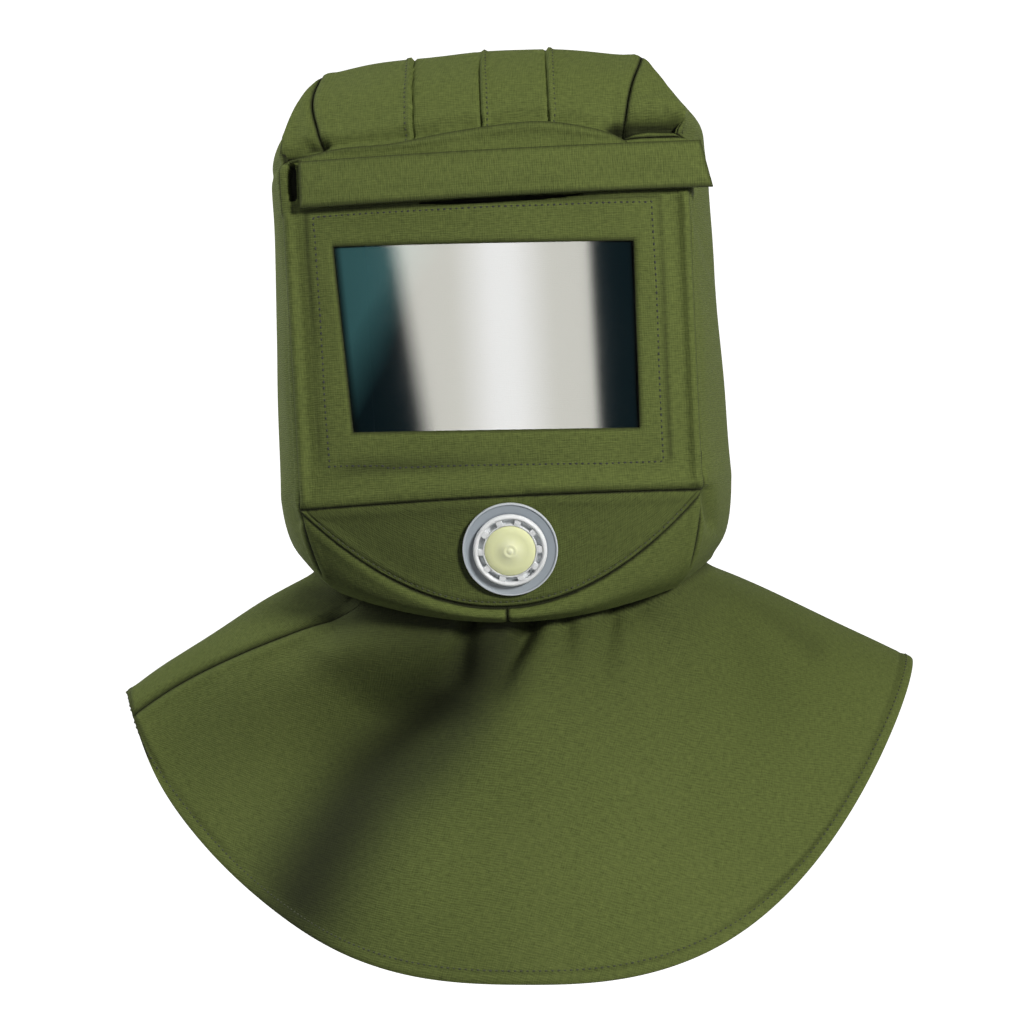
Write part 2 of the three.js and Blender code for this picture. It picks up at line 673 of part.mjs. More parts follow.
function arcPoints(radius, from, to, count) {
  return Array.from({ length: count + 1 }, (_, i) => {
    const angle = lerp(from, to, i / count);
    return new THREE.Vector2(radius * Math.cos(angle), radius * Math.sin(angle));
  });
}

// A slotted rim round the membrane, a hub behind it and a tube back through the cloth.
function cageGeometry() {
  const turn = 2 * Math.PI;
  const rim = new THREE.Shape(arcPoints(VALVE.cage, 0, turn, ROUND).slice(1));
  rim.holes.push(new THREE.Path(arcPoints(MEMBRANE.radius + GAP, 0, turn, ROUND).slice(1)));
  const half = (VALVE_SLOTS.share * turn) / VALVE_SLOTS.count / 2;
  for (let i = 0; i < VALVE_SLOTS.count; i++) {
    const middle = turn / 4 + (i * turn) / VALVE_SLOTS.count;
    const far = arcPoints(VALVE_SLOTS.outer, middle - half, middle + half, VALVE_SLOTS.steps);
    const near = arcPoints(VALVE_SLOTS.inner, middle + half, middle - half, VALVE_SLOTS.steps);
    rim.holes.push(new THREE.Path([...far, ...near]));
  }
  const { tubeBack, flangeTop, hubTop, cageTop } = VALVE_HEIGHTS;
  const bottom = flangeTop + GAP;
  const plate = new THREE.ExtrudeGeometry(rim, { depth: cageTop - bottom, bevelEnabled: false });
  plate.translate(0, 0, bottom);
  const hubRadius = (MEMBRANE.radius + GAP + VALVE_SLOTS.inner) / 2;
  const hub = turned([[0, bottom], [hubRadius, bottom], [hubRadius, hubTop], [0, hubTop]]);
  const { tube, bore } = VALVE;
  const sleeve = ringGeometry([[bore, tubeBack], [tube, tubeBack], [tube, hubTop], [bore, hubTop]]);
  return geometryFrom(solidOf(plate).add(solidOf(hub)).add(solidOf(sleeve)));
}

function membraneGeometry() {
  const { radius, edge, dome, nub, nubHeight } = MEMBRANE;
  const bottom = VALVE_HEIGHTS.hubTop + GAP;
  const crest = bottom + edge + dome;
  return turned([
    [0, bottom],
    [radius, bottom],
    [radius, bottom + edge],
    [nub, crest],
    [nub, crest + nubHeight],
    [0, crest + nubHeight],
  ]);
}

function nutGeometry() {
  const inner = VALVE.tube + GAP;
  const { outer, back, front } = NUT;
  return ringGeometry([[inner, back], [outer, back], [outer, front], [inner, front]]);
}

// Materials

const finish = (color, roughness, rest = {}) => (
  new THREE.MeshStandardMaterial({ color, roughness, metalness: 0, ...rest })
);
const canvas = () => finish(0x55662f, 0.95);
const clear = () => finish(0x9fb3b2, 0.05, { transparent: true, opacity: 0.35 });
const greyPlastic = () => finish(0x9aa2ab, 0.45);
const whitePlastic = () => finish(0xe4e8ea, 0.4);
const paleRubber = () => finish(0xd9dfa0, 0.5);

// Assembly

function add(parent, name, geometry, material) {
  const mesh = new THREE.Mesh(geometry, material);
  mesh.name = name;
  parent.add(mesh);
}

const hood = new THREE.Group();
const hoodForm = makeHood();
const oneLayer = () => CLOTH;
for (const panel of ["front_panel", "crown", "side_left", "side_right"]) {
  add(hood, panel, hoodForm.wall(panel, oneLayer), canvas());
}

const chin = chinPlace();
const valve = new THREE.Group();
valve.position.copy(chin.point);
valve.rotation.x = Math.PI / 2 + chin.tilt;
valve.updateMatrix();
hood.add(valve);

const drill = new THREE.CylinderGeometry(VALVE.hole, VALVE.hole, DRILL_LENGTH, ROUND).rotateX(Math.PI / 2);
const chinWall = solidOf(hoodForm.wall("chin_panel", oneLayer)).subtract(solidOf(drill, valve.matrix));
add(hood, "chin_panel", geometryFrom(chinWall), canvas());

add(hood, "window_pocket", pocketGeometry(), canvas());
add(hood, "lens", sheetGeometry(paneRows(), paneFace, PANE), clear());
add(hood, "window_flap", flapGeometry(), canvas());
add(hood, "pocket_lip", lipGeometry(), canvas());

const cape = makeCape();
for (const panel of ["cape_front", "cape_back"]) {
  add(hood, panel, cape.form.wall(panel, cape.thickness), canvas());
}

add(valve, "valve_flange", flangeGeometry(), greyPlastic());
add(valve, "valve_cage", cageGeometry(), whitePlastic());
add(valve, "valve_membrane", membraneGeometry(), paleRubber());
add(valve, "valve_nut", nutGeometry(), whitePlastic());

export default hood;
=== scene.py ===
"""Looks for a canvas dust hood, built round its packed frame.

Sizes in the tables are millimetres in the frame of the part: +Z up, the hood faces -Y, and left
and right are as seen from the front, so right is +X. Meshes and settings are in metres.
"""

import math

import bpy
import numpy as np
from bpy.props import FloatProperty, FloatVectorProperty, IntProperty, PointerProperty
from bpy.types import Operator, Panel, PropertyGroup
from mathutils import Matrix, Vector
from mathutils.bvhtree import BVHTree
from mathutils.kdtree import KDTree


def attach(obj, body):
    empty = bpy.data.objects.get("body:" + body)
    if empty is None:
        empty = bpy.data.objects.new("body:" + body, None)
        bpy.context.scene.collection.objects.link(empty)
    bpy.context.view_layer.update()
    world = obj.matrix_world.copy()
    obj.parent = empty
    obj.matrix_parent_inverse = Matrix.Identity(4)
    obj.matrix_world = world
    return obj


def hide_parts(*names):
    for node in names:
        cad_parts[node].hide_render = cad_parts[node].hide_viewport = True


bl_info = {
    "name": "Canvas dust hood",
    "version": (1, 0, 0),
    "blender": (4, 5, 0),
    "location": "View3D > Sidebar > Dust hood",
    "description": "Builds the sewn cloth, pane, valve and stage of a canvas dust hood",
    "category": "Object",
}

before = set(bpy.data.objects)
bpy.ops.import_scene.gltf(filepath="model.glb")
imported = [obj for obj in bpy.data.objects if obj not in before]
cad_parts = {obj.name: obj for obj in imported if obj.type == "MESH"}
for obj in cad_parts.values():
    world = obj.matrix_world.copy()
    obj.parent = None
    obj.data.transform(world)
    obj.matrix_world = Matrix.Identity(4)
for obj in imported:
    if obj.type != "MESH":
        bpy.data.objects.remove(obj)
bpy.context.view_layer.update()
BODY = "root"
MM = 0.001
# Points closer than this are one, in millimetres.
WELD = 0.01

# The hood's form, close to the part's source. The tucks, crests and folds differ from it.

FIELDS = ("z_mid", "z_edge", "z_side", "z_back", "x_seam", "half", "y_edge", "bow", "y_back",
          "left_share", "right_share", "lean")
SECTIONS = {
    "neck": (-339, -322, -308, -303, 97, 119, -66, 33, 101, 0.78, 0.69, -0.035),
    "jaw": (-336, -307, -291, -286, 109, 131, -90, 21, 109, 0.78, 0.69, -0.02),
    "chin_hem": (-330, -268, -265, -261, 118, 136, -110, -1, 114, 0.78, 0.69, 0),
    "chin_seam": (-266, -268, -265, -261, 118, 136, -110, 15, 114, 0.78, 0.69, 0),
    "sill": (-239, -239, -237, -235, 118, 136, -112, 13, 117, 0.78, 0.69, 0),
    "lintel": (-109, -109, -109, -109, 119, 133, -112, 13, 120, 0.78, 0.69, 0),
    "brow": (-63, -63, -59, -59, 119, 131, -109, 12, 114, 0.78, 0.69, 0),
    "rise": (-25, -33, -27, -25, 110, 119, -95, 10, 100, 0.9, 0.8, 0),
    "top": (-1, -11, -9, -3, 95, 100, -70, 6, 74, 1, 1, 0.005),
}
NECK, CHIN_HEM, CHIN_SEAM, LINTEL, BROW, TOP = (
    list(SECTIONS).index(name) for name in ("neck", "chin_hem", "chin_seam", "lintel", "brow", "top"))
ROWS = np.array(list(SECTIONS.values()), float)
# Lengths of cloth from each section to the next.
SPAN_LENGTHS = (22, 32, 62, 28, 130, 47, 42, 42)
# How square the back half is, and the turn at which its seams run.
REAR_ROUND = 3
REAR_SEAM = math.radians(50)
# Tucks of the crown: x of the sewn line, and the side that its fold lies to.
TUCKS = {"left": (-39.6, -1), "middle": (-0.3, 1), "right": (38.7, 1)}
# Corners of the window and of the pocket behind it, as x and z, from the lower left round.
WINDOW = np.array([(-83, -224), (82, -230), (84, -123), (-89, -117)], float)
POCKET = np.array([(-103, -244), (99, -251), (100, -98), (-104, -96)], float)
# How far the pane lies behind the front's face, and how far it goes past the window.
PANE_OFF = 2.2
PANE_LAP = 8
# Edges of the flap, and how far it stands off the front at its top and bottom.
FLAP = {"left": -107, "right": 124, "top": -66, "bottom": -94, "top_off": 6.2, "bottom_off": 9}
# The lip's lower edge, how steeply it leans back, and its crest as x and z.
LIP_BOTTOM = -79
LIP_LEAN = 0.06
LIP = np.array([(-113, -65), (-84, -60), (-52, -59), (-14, -54), (32, -51), (66, -57), (84, -65)], float)
VALVE_PLACE = {"x": 4, "z": -296}
# Outside and inside of the valve's tube, as radii, and the angle from which its edges are sharp.
TUBE, BORE = 20.6, 19
TURNED_SHARP = 40
# The cape's hem: half width, depths, height of the shoulder tips, drops from there, roundness,
# turn against the neck, and lean.
HEM = {"half": 242, "front": 152, "back": 150, "z_tip": -376, "drop_front": 166, "drop_back": 158,
       "curve": 2.8, "twist": math.radians(-17), "lean": 0.05}
# How far the shoulders rise between the neck and the hem.
CREST = {"left": 5, "right": 1}
# How much is left between pieces that meet.
GAP = 0.3
# The cone that the cape is cut from: its spread, and its radius at the neck and hem.
CONE = 0.72
CONE_REACH = (150, 350)
# The cape's length from neck to hem that its rows are spaced by, and the one that places its stitches.
CAPE_LENGTH, HEM_LENGTH = 190, 205
# The left shoulder seam at the neck and hem: how far back from the front corner, as shares of the side.
SHOULDER = (-0.2, 0.26)
# Rows of points beside a seam, the least step between rows, and the waves that make up the slack.
SEAM_STEPS = (0.6, 1.3, 2.1, 3, 4.2, 5.8, 8)
LEAST_STEP = 0.45
SLACK_WAVES = 7

# The share of a fold's length over which it stays open.
FOLD_HOLD = 0.3
# Folds of the cape's front: places across at the neck and hem, how soon the path bends, half widths at
# the neck and hem, how much wider the left bank is, depth, where it is fully open, and where it ends.
FOLDS = {
    "main_valley": (-0.08, -0.74, 1.6, 0.14, 0.22, 1.3, 50, 0.35, 2.6),
    "right_hollow": (0.86, 0.78, 1, 0.11, 0.13, 1.6, 15, 0.2, 0.75),
    "left_hollow": (-0.76, -0.9, 1, 0.14, 0.08, 1, 7, 0.13, 0.6),
    "breast": (0.05, 0.1, 1, 0.3, 0.36, 1, -9, 0.38, 9),
}
# Painted shade in the folds: a path of x and z, how much of it there is, and its half width.
FOLD_SHADE = {
    "main_fold": ([(-10, -345), (-16, -359), (-34, -382), (-60, -404), (-86, -426), (-116, -470),
                   (-129, -491)], 0.92, 34),
    "right_hollow": ([(134, -334), (152, -343), (164, -353), (180, -366)], 0.34, 13),
}
# Gathers where the cape is sewn to the neck: a path of x and z, depth and half width at the neck.
GATHERS = {
    "throat": ([(16, -336), (-1, -359), (-14, -386)], 15, 5),
    "middle": ([(36, -336), (30, -370)], 4.5, 4),
    "right": ([(65, -332), (56, -359), (50, -384)], 7, 5),
    "corner": ([(75, -326), (90, -359), (104, -402)], 9, 9),
    "left": ([(-22, -334), (-30, -356), (-36, -378)], 14, 5),
    "shoulder": ([(-98, -318), (-114, -350)], 5, 6),
}

# Creases of the hood's front: a path of x and z, then depth (out is positive) and half width.
CREASES = {
    "brow_hollow_right": ([(78, -58), (96, -56), (112, -57), (126, -62), (138, -72)], -9, 3.8),
    "corner_roll_right": ([(86, -44), (106, -44), (122, -50), (138, -58)], 4, 6),
    "lip_crease": ([(-100, -58), (-52, -56), (-14, -51), (32, -48), (66, -54), (84, -60)], -2.2, 2.4),
    "lip_roll": ([(-100, -52), (-52, -50), (-14, -45), (32, -42), (66, -47)], 1.1, 3.5),
    "crown_hollow_right": ([(76, -56), (84, -42)], -3, 9),
    "brow_hollow_left": ([(-134, -70), (-120, -65), (-104, -59), (-92, -57)], -4, 3.6),
    "chin_notch_right": ([(119, -269), (121, -288)], -6, 3.2),
    "chin_notch_left": ([(-126, -262), (-120, -274)], -2.5, 4),
    "cheek_line_right": ([(121, -108), (127, -126), (131, -142)], -2.2, 2.2),
    "cheek_ridge_right": ([(118, -108), (123, -126), (127, -144)], 1.4, 3),
    "front_left_slack": ([(-108, -110), (-110, -170), (-108, -240)], -1.2, 6),
    "front_right_slack": ([(108, -104), (110, -180), (108, -250)], -1.2, 6),
    "front_seam_right": ([(119.5, -98), (119, -180), (118.5, -262)], -2.4, 2.2),
    "front_edge_right": ([(114.5, -98), (114, -180), (113.5, -262)], 1.6, 3),
    "sill_roll_right": ([(20, -262), (70, -262), (116, -263)], 2.2, 4),
    "front_seam_left": ([(-119.5, -98), (-119, -180), (-118.5, -262)], -2.4, 2.2),
    "front_edge_left": ([(-114.5, -98), (-114, -180), (-113.5, -262)], 1.2, 3),
    "sill_sag": ([(-60, -257), (0, -259), (60, -258)], 1.2, 6),
}
# Openings into the pocket, beside the flap and below it: x, z, half sizes, depth, and how square.
MOUTHS = {"end": (-111.4, -78, 2.7, 10.5, 9, 12), "slot": (8, -94.8, 46, 1.7, 6, 2.5)}
# Where the sides are drawn in: side, z, half height and depth.
DENTS = {"left_shoulder": (-1, -34, 15, 4.5), "left_cheek": (-1, -115, 45, 2),
         "right_shoulder": (1, -28, 18, 5), "right_cheek": (1, -160, 80, 1.4)}


# Settings

def length_of(name, description, default, **limits):
    return FloatProperty(name=name, description=description, default=default, unit="LENGTH", **limits)


def power_of(name, description, default):
    return FloatProperty(name=name, description=description, default=default, unit="POWER")


def angle_of(name, description, degrees):
    return FloatProperty(name=name, description=description, default=math.radians(degrees), subtype="ANGLE")


def share_of(name, description, default, low, high):
    return FloatProperty(name=name, description=description, default=default, min=low, max=high,
                         subtype="FACTOR")


def colour_of(name, description, default):
    return FloatVectorProperty(name=name, description=description, default=default, min=0, max=1,
                               subtype="COLOR")


class ClothSettings(PropertyGroup):
    """How the canvas is cut and sewn"""
    thickness: length_of("Thickness", "One layer of canvas", 0.0016, min=0.0005)
    hem_thickness: length_of("Hem thickness", "Canvas turned over and stitched", 0.0026, min=0.0005)
    seam_depth: length_of("Seam depth", "How far a seam draws the cloth in", 0.0011)
    seam_width: length_of("Seam width", "Half width of the groove at a seam", 0.0009)
    seam_roll: length_of("Seam roll", "Height of the turned edge beside a seam", 0.0007)
    fullness: length_of("Fullness", "How far a panel swells between its seams", 0.0006)
    ripple: length_of("Ripple", "Height of the slack in the cloth", 0.0006)
    seed: IntProperty(name="Seed", description="Seed of the slack and of the thread", default=7)


class ThreadSettings(PropertyGroup):
    """The rows of stitches"""
    pitch: length_of("Pitch", "From one stitch to the next", 0.0035, min=0.001)
    length: length_of("Length", "Length of a stitch", 0.002)
    width: length_of("Width", "Width of the thread", 0.0013)
    inset: length_of("Inset", "From an edge to its row of stitches", 0.0075)
    dark: colour_of("Dark", "Colour of the thread round the window", (0.012, 0.014, 0.008))
    fine: colour_of("Fine", "Colour of the thread at hems and tucks", (0.024, 0.03, 0.01))


class CanvasSettings(PropertyGroup):
    """The finish of the canvas"""
    light: colour_of("Threads", "Top of the threads", (0.146, 0.184, 0.047))
    dark: colour_of("Gaps", "Gaps between the threads", (0.044, 0.057, 0.0145))
    worn: colour_of("Worn", "Rubbed places", (0.165, 0.195, 0.06))
    pitch: length_of("Weave", "From one thread to the next", 0.0014, min=0.0002)
    depth: length_of("Weave depth", "Height of a thread", 0.0005)


class PaneSettings(PropertyGroup):
    """The clear pane"""
    thickness: length_of("Thickness", "Thickness of the pane", 0.002)
    tint: colour_of("Tint", "Tint where the light comes through", (0.05, 0.15, 0.16))
    deep: colour_of("Deep tint", "Tint over the dark inside", (0.004, 0.012, 0.016))
    alpha: share_of("Alpha", "How much the pane covers what is behind it", 0.72, 0, 1)
    ior: FloatProperty(name="Gloss", description="Index of refraction that sets the gloss", default=2.1)


class ValveSettings(PropertyGroup):
    """The exhale valve, with heights along its own axis"""
    flange: length_of("Flange radius", "Outside of the grey flange", 0.0275)
    cage: length_of("Rim radius", "Outside of the white rim", 0.0214)
    slot_outer: length_of("Slots to", "Outer end of the slots", 0.0186)
    slot_inner: length_of("Slots from", "Inner end of the slots", 0.0157)
    slots: IntProperty(name="Slots", description="Slots round the rim", default=10, min=3)
    rib_share: share_of("Rib share", "Share of the circle that the ribs take", 0.34, 0.05, 0.95)
    membrane: length_of("Disc radius", "Outside of the rubber disc", 0.0146)
    grey: colour_of("Flange colour", "Colour of the flange", (0.3, 0.34, 0.38))
    white: colour_of("Rim colour", "Colour of the rim", (0.84, 0.87, 0.89))
    rubber: colour_of("Disc colour", "Colour of the rubber disc", (0.74, 0.77, 0.45))


class StageSettings(PropertyGroup):
    """Floor, light and camera"""
    floor: colour_of("Floor", "Colour of the floor and backdrop", (0.9, 0.9, 0.9))
    key: power_of("Key light", "Power of the light at the upper right", 82)
    fill: power_of("Fill light", "Power of the light at the left", 30)
    top: power_of("Top light", "Power of the soft light overhead", 6)
    sky: FloatProperty(name="Sky", description="Strength of the light from all round", default=0.08)
    card: FloatProperty(name="Card", description="Brightness of the card that the pane reflects", default=9.2)
    distance: length_of("Camera distance", "From the camera to the hood's middle", 2.0)
    azimuth: angle_of("Camera azimuth", "Turn of the camera round the hood", 2)
    roll: angle_of("Camera roll", "Tilt of the hood in the picture", 3)
    width: length_of("Width in view", "Width of the picture at the hood's middle", 0.6267)


class DustHoodSettings(PropertyGroup):
    """All settings of the dust hood"""
    cloth: PointerProperty(type=ClothSettings)
    thread: PointerProperty(type=ThreadSettings)
    canvas: PointerProperty(type=CanvasSettings)
    pane: PointerProperty(type=PaneSettings)
    valve: PointerProperty(type=ValveSettings)
    stage: PointerProperty(type=StageSettings)


# Numbers and curves

def lerp(a, b, share):
    return a + (b - a) * share


def smooth(share):
    share = np.clip(share, 0, 1)
    return share * share * (3 - 2 * share)


def bell(distance, half):
    return np.exp(-(distance / half) ** 2)


def unit(vectors):
    return vectors / np.maximum(np.linalg.norm(vectors, axis=-1, keepdims=True), 1e-9)


def closed(path):
    return np.vstack([path, path[:1]])


def path_lengths(points):
    """The length along a path at each of its points."""
    return np.concatenate([[0], np.cumsum(np.linalg.norm(np.diff(points, axis=0), axis=1))])


def spline(rows, place):
    """Rows at fractional places in a list, on a Catmull-Rom curve through it."""
    place = np.asarray(place, float)
    last = len(rows) - 1
    i = np.clip(np.floor(place).astype(int), 0, last - 1)
    t = (place - i)[..., None]
    a, b, c, d = (rows[np.clip(i + k, 0, last)] for k in (-1, 0, 1, 2))
    squared, cubed = 2 * a - 5 * b + 4 * c - d, 3 * b - a - 3 * c + d
    return 0.5 * (2 * b + (c - a) * t + squared * t ** 2 + cubed * t ** 3)


def named(rows):
    """Rows of the table of sections, by the names of its fields."""
    return dict(zip(FIELDS, np.moveaxis(rows, -1, 0)))


def section(place, in_front):
    """The hood's section at a place between the rows of the table."""
    place = np.asarray(place, float)
    if in_front:
        low = spline(ROWS[:CHIN_HEM + 1], np.minimum(place, CHIN_HEM))
        high = spline(ROWS[CHIN_SEAM:], np.maximum(place, CHIN_SEAM) - CHIN_SEAM)
        chin = lerp(ROWS[CHIN_HEM], ROWS[CHIN_SEAM], np.clip(place - CHIN_HEM, 0, 1)[..., None])
        return named(np.where((place <= CHIN_HEM)[..., None], low,
                              np.where((place >= CHIN_SEAM)[..., None], high, chin)))
    around = np.delete(ROWS, CHIN_HEM, axis=0)
    return named(spline(around, np.where(place <= CHIN_HEM, place, np.maximum(place, CHIN_SEAM) - 1)))


def front_point(place, across):
    """Points of the front, across from the left seam at -1 to the right seam at 1."""
    row = section(place, True)
    bulge = 1 - across * across
    x = across * row["x_seam"]
    return np.stack([x, row["y_edge"] - row["bow"] * bulge,
                     lerp(row["z_edge"], row["z_mid"], bulge) + row["lean"] * x], -1)


def side_point(place, side, share):
    """Points of a side, from its front seam at 0 to its widest place at 1."""
    row = section(place, False)
    rest = (1 - share) ** 2
    x = side * lerp(row["half"], row["x_seam"], rest)
    return np.stack([x, row["y_edge"] * (1 - share),
                     lerp(row["z_side"], row["z_edge"], rest) + row["lean"] * x], -1)


def rear_point(place, angle):
    """Points of the back half, by their turn from the right."""
    row = section(place, False)
    c, s = np.cos(angle), np.sin(angle)
    wide, deep = np.abs(c) / row["half"], s / row["y_back"]
    reach = (wide ** REAR_ROUND + deep ** REAR_ROUND) ** (-1 / REAR_ROUND)
    x = reach * c
    return np.stack([x, reach * s, lerp(row["z_side"], row["z_back"], s * s) + row["lean"] * x], -1)


def front_face(x, z):
    """The y of the flat front's outer face, between chin and brow."""
    upper = ROWS[CHIN_SEAM:]
    row = named(spline(upper, np.interp(z, named(upper)["z_mid"], np.arange(len(upper)))))
    return row["y_edge"] - row["bow"] * (1 - (x / row["x_seam"]) ** 2)


def stops(length, step, ends=(True, True), near=()):
    """Shares along a run, closer together by its seamed ends and by the places in near."""
    marks = list(np.linspace(0, length, max(2, round(length / step) + 1)))
    for seamed, sign, start in ((ends[0], 1, 0), (ends[1], -1, length)):
        marks += [start + sign * off for off in SEAM_STEPS] if seamed else []
    for place in near:
        marks += [place + sign * off for off in (0, *SEAM_STEPS[:4]) for sign in (1, -1)]
    marks = np.sort([mark for mark in marks if 0 <= mark <= length])
    kept = [0.0]
    for mark in marks[1:-1]:
        if mark - kept[-1] > LEAST_STEP and length - mark > LEAST_STEP:
            kept.append(mark)
    return np.array([*kept, length]) / length


def arc_lengths(grid):
    """Flat coordinates of a patch, measured along its rows and columns."""
    along = np.linalg.norm(np.diff(grid, axis=1), axis=2)
    up = np.linalg.norm(np.diff(grid, axis=0), axis=2)
    u = np.concatenate([np.zeros((len(grid), 1)), np.cumsum(along, axis=1)], axis=1)
    v = np.concatenate([np.zeros((1, grid.shape[1])), np.cumsum(up, axis=0)], axis=0)
    return np.stack([u - u[:, -1:] / 2, v], -1)


def path_near(points, path):
    """Distance of points from a path in the front view, and the share along it of the nearest place."""
    x, z = points[:, 0], points[:, 2]
    found, along = np.full(len(x), np.inf), np.zeros(len(x))
    path = np.asarray(path, float)
    steps = len(path) - 1
    for i, ((ax, az), (bx, bz)) in enumerate(zip(path[:-1], path[1:])):
        dx, dz = bx - ax, bz - az
        share = np.clip(((x - ax) * dx + (z - az) * dz) / (dx * dx + dz * dz), 0, 1)
        distance = np.hypot(x - ax - share * dx, z - az - share * dz)
        along = np.where(distance < found, (i + share) / steps, along)
        found = np.minimum(found, distance)
    return found, along


def slack(points, scale, seed):
    """A smooth wandering height, mostly between -1 and 1, with waves about as long as scale."""
    rng = np.random.default_rng(seed)
    total = np.zeros(len(points))
    for _ in range(SLACK_WAVES):
        wave = rng.normal(size=3)
        wave *= 2 * math.pi / (scale * rng.uniform(0.7, 1.5)) / np.linalg.norm(wave)
        total += np.sin(points @ wave + rng.uniform(0, 2 * math.pi))
    return total / math.sqrt(SLACK_WAVES)


# Surfaces made of patches

class Form:
    """Patches of one surface, each part of a panel, welded where they meet."""

    def __init__(self):
        self.patches = []

    def add(self, panel, grid, flat=None):
        self.patches.append((panel, grid, arc_lengths(grid) if flat is None else flat))

    def weld(self):
        points = np.concatenate([grid.reshape(-1, 3) for _, grid, _ in self.patches])
        self.points, place = welded(points)
        quads, flats, panels, start = [], [], [], 0
        for panel, grid, flat in self.patches:
            at = place[start:start + grid[..., 0].size].reshape(grid.shape[:2])
            start += at.size
            quads.append(corners(at).reshape(-1, 4))
            flats.append(corners(flat).reshape(-1, 4, 2))
            panels += [panel] * len(quads[-1])
        self.quads, self.flats, self.panels = np.concatenate(quads), np.concatenate(flats), np.array(panels)
        self.normals = normals_of(self.points, self.quads)
        return self


def tree_of(points):
    tree = KDTree(len(points))
    for i, point in enumerate(points):
        tree.insert(point, i)
    tree.balance()
    return tree


def nearest_distance(points, marks):
    """Distance of each point from the nearest mark."""
    tree = tree_of(marks)
    return np.array([tree.find(point)[2] for point in points])


def welded(points):
    """Points without repeats, and the place in them of each point."""
    tree = tree_of(points)
    first = np.array([min(found[1] for found in tree.find_range(point, WELD)) for point in points])
    kept, place = np.unique(first, return_inverse=True)
    return points[kept], place.reshape(-1)


def corners(grid):
    """The four corners of each cell of a grid."""
    return np.stack([grid[:-1, :-1], grid[:-1, 1:], grid[1:, 1:], grid[1:, :-1]], 2)


def normals_of(points, quads):
    """The way out at each point, from the quads round it."""
    a, b, c, d = (points[quads[:, k]] for k in range(4))
    area = np.cross(c - a, d - b)
    sums = np.zeros_like(points)
    for k in range(4):
        np.add.at(sums, quads[:, k], area)
    return unit(sums)


class Sheet:
    """One panel of a form, to be given its relief and its thickness."""

    def __init__(self, form, panel):
        mine = form.panels == panel
        used, local = np.unique(form.quads[mine], return_inverse=True)
        self.quads, self.flats = local.reshape(-1, 4), form.flats[mine]
        self.points, self.normals = form.points[used].copy(), form.normals[used]
        starts, ends = self.quads.ravel(), np.roll(self.quads, -1, axis=1).ravel()
        real = starts != ends
        starts, ends = starts[real], ends[real]
        count = len(used)
        shared = np.isin(starts * count + ends, ends * count + starts)
        self.rim = np.stack([starts[~shared], ends[~shared]], -1)
        self.draw_in()

    def draw_in(self):
        """The rim is drawn a little way into its own panel, so that panels don't touch."""
        rim = np.unique(self.rim)
        pull = np.zeros_like(self.points)
        centres = self.points[self.quads].mean(axis=1)
        for k in range(4):
            np.add.at(pull, self.quads[:, k], centres - self.points[self.quads[:, k]])
        self.points[rim] += GAP * unit(pull[rim])

    def edge_distance(self, keep=None):
        """Distance of every point from the rim, or from the part of it that keep picks."""
        a, b = self.points[self.rim[:, 0]], self.points[self.rim[:, 1]]
        if keep is not None:
            chosen = keep((a + b) / 2)
            a, b = a[chosen], b[chosen]
        shares = np.linspace(0, 1, 7)[:-1, None, None]
        return nearest_distance(self.points, lerp(a[None], b[None], shares).reshape(-1, 3))

    def ease(self, weight, rounds):
        """Draws points with a weight towards the middle of their neighbours, to round a hard edge."""
        weight, places = weight[:, None], self.quads.ravel()
        count = np.maximum(np.bincount(places, minlength=len(weight)), 1)[:, None]
        for _ in range(rounds):
            sums = np.zeros_like(self.points)
            np.add.at(sums, places, np.repeat(self.points[self.quads].mean(axis=1), 4, axis=0))
            self.points += weight * (sums / count - self.points)
        eased = normals_of(self.points, self.quads)
        self.normals = unit(lerp(self.normals, eased, np.minimum(weight * 4, 1)))

    def wall(self, name, height, thickness, material, seam):
        """A closed wall: the outer face raised by height, the inner face thickness behind it."""
        count = len(self.points)
        self.outer = outer = self.points + self.normals * np.reshape(height, (-1, 1))
        inner = outer - self.normals * np.reshape(np.broadcast_to(thickness, count), (-1, 1))
        rim = np.stack([self.rim[:, 1], self.rim[:, 0], self.rim[:, 0] + count, self.rim[:, 1] + count], -1)
        faces = np.concatenate([self.quads, self.quads[:, ::-1] + count, rim])
        flat_of = np.zeros((count, 2))
        flat_of[self.quads.ravel()] = self.flats.reshape(-1, 2)
        flats = np.concatenate([self.flats, self.flats[:, ::-1], flat_of[rim % count]])
        return new_piece(name, np.concatenate([outer, inner]), faces, material, flats, np.tile(seam, 2))


def new_piece(name, points, faces, material, flats=None, seams=None, sharp=50):
    """A mesh object of that name at the origin. A face with a corner twice becomes a triangle."""
    rings, picks = [], []
    for i, ring in enumerate(faces.tolist()):
        keep = [k for k in range(len(ring)) if ring[k] != ring[k - 1]]
        if len(keep) > 2:
            rings.append([ring[k] for k in keep])
            picks += [(i, k) for k in keep]
    mesh = bpy.data.meshes.new(name)
    mesh.from_pydata((points * MM).tolist(), [], rings)
    if flats is not None:
        rows, places = np.array(picks).T
        layer = mesh.uv_layers.new(name="cloth")
        layer.data.foreach_set("uv", (flats[rows, places] * MM).astype(np.float32).ravel())
    # The seam attribute holds painted shade, which darkens the canvas.
    if seams is not None:
        mesh.attributes.new("seam", "FLOAT", "POINT").data.foreach_set("value", seams.astype(np.float32))
    return show(mesh, material, sharp)


def show(mesh, material, sharp=50):
    """An object of the mesh in the scene, smooth but for edges sharper than that angle."""
    mesh.shade_smooth()
    mesh.set_sharp_from_angle(angle=math.radians(sharp))
    mesh.materials.clear()
    mesh.materials.append(material)
    piece = bpy.data.objects.new(mesh.name, mesh)
    bpy.context.collection.objects.link(piece)
    return piece


def settle(piece, slot, *nodes):
    """The piece rides on the part's one body and stands for those nodes. Its slot is not used."""
    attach(piece, BODY)
    if nodes:
        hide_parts(*nodes)
    return piece


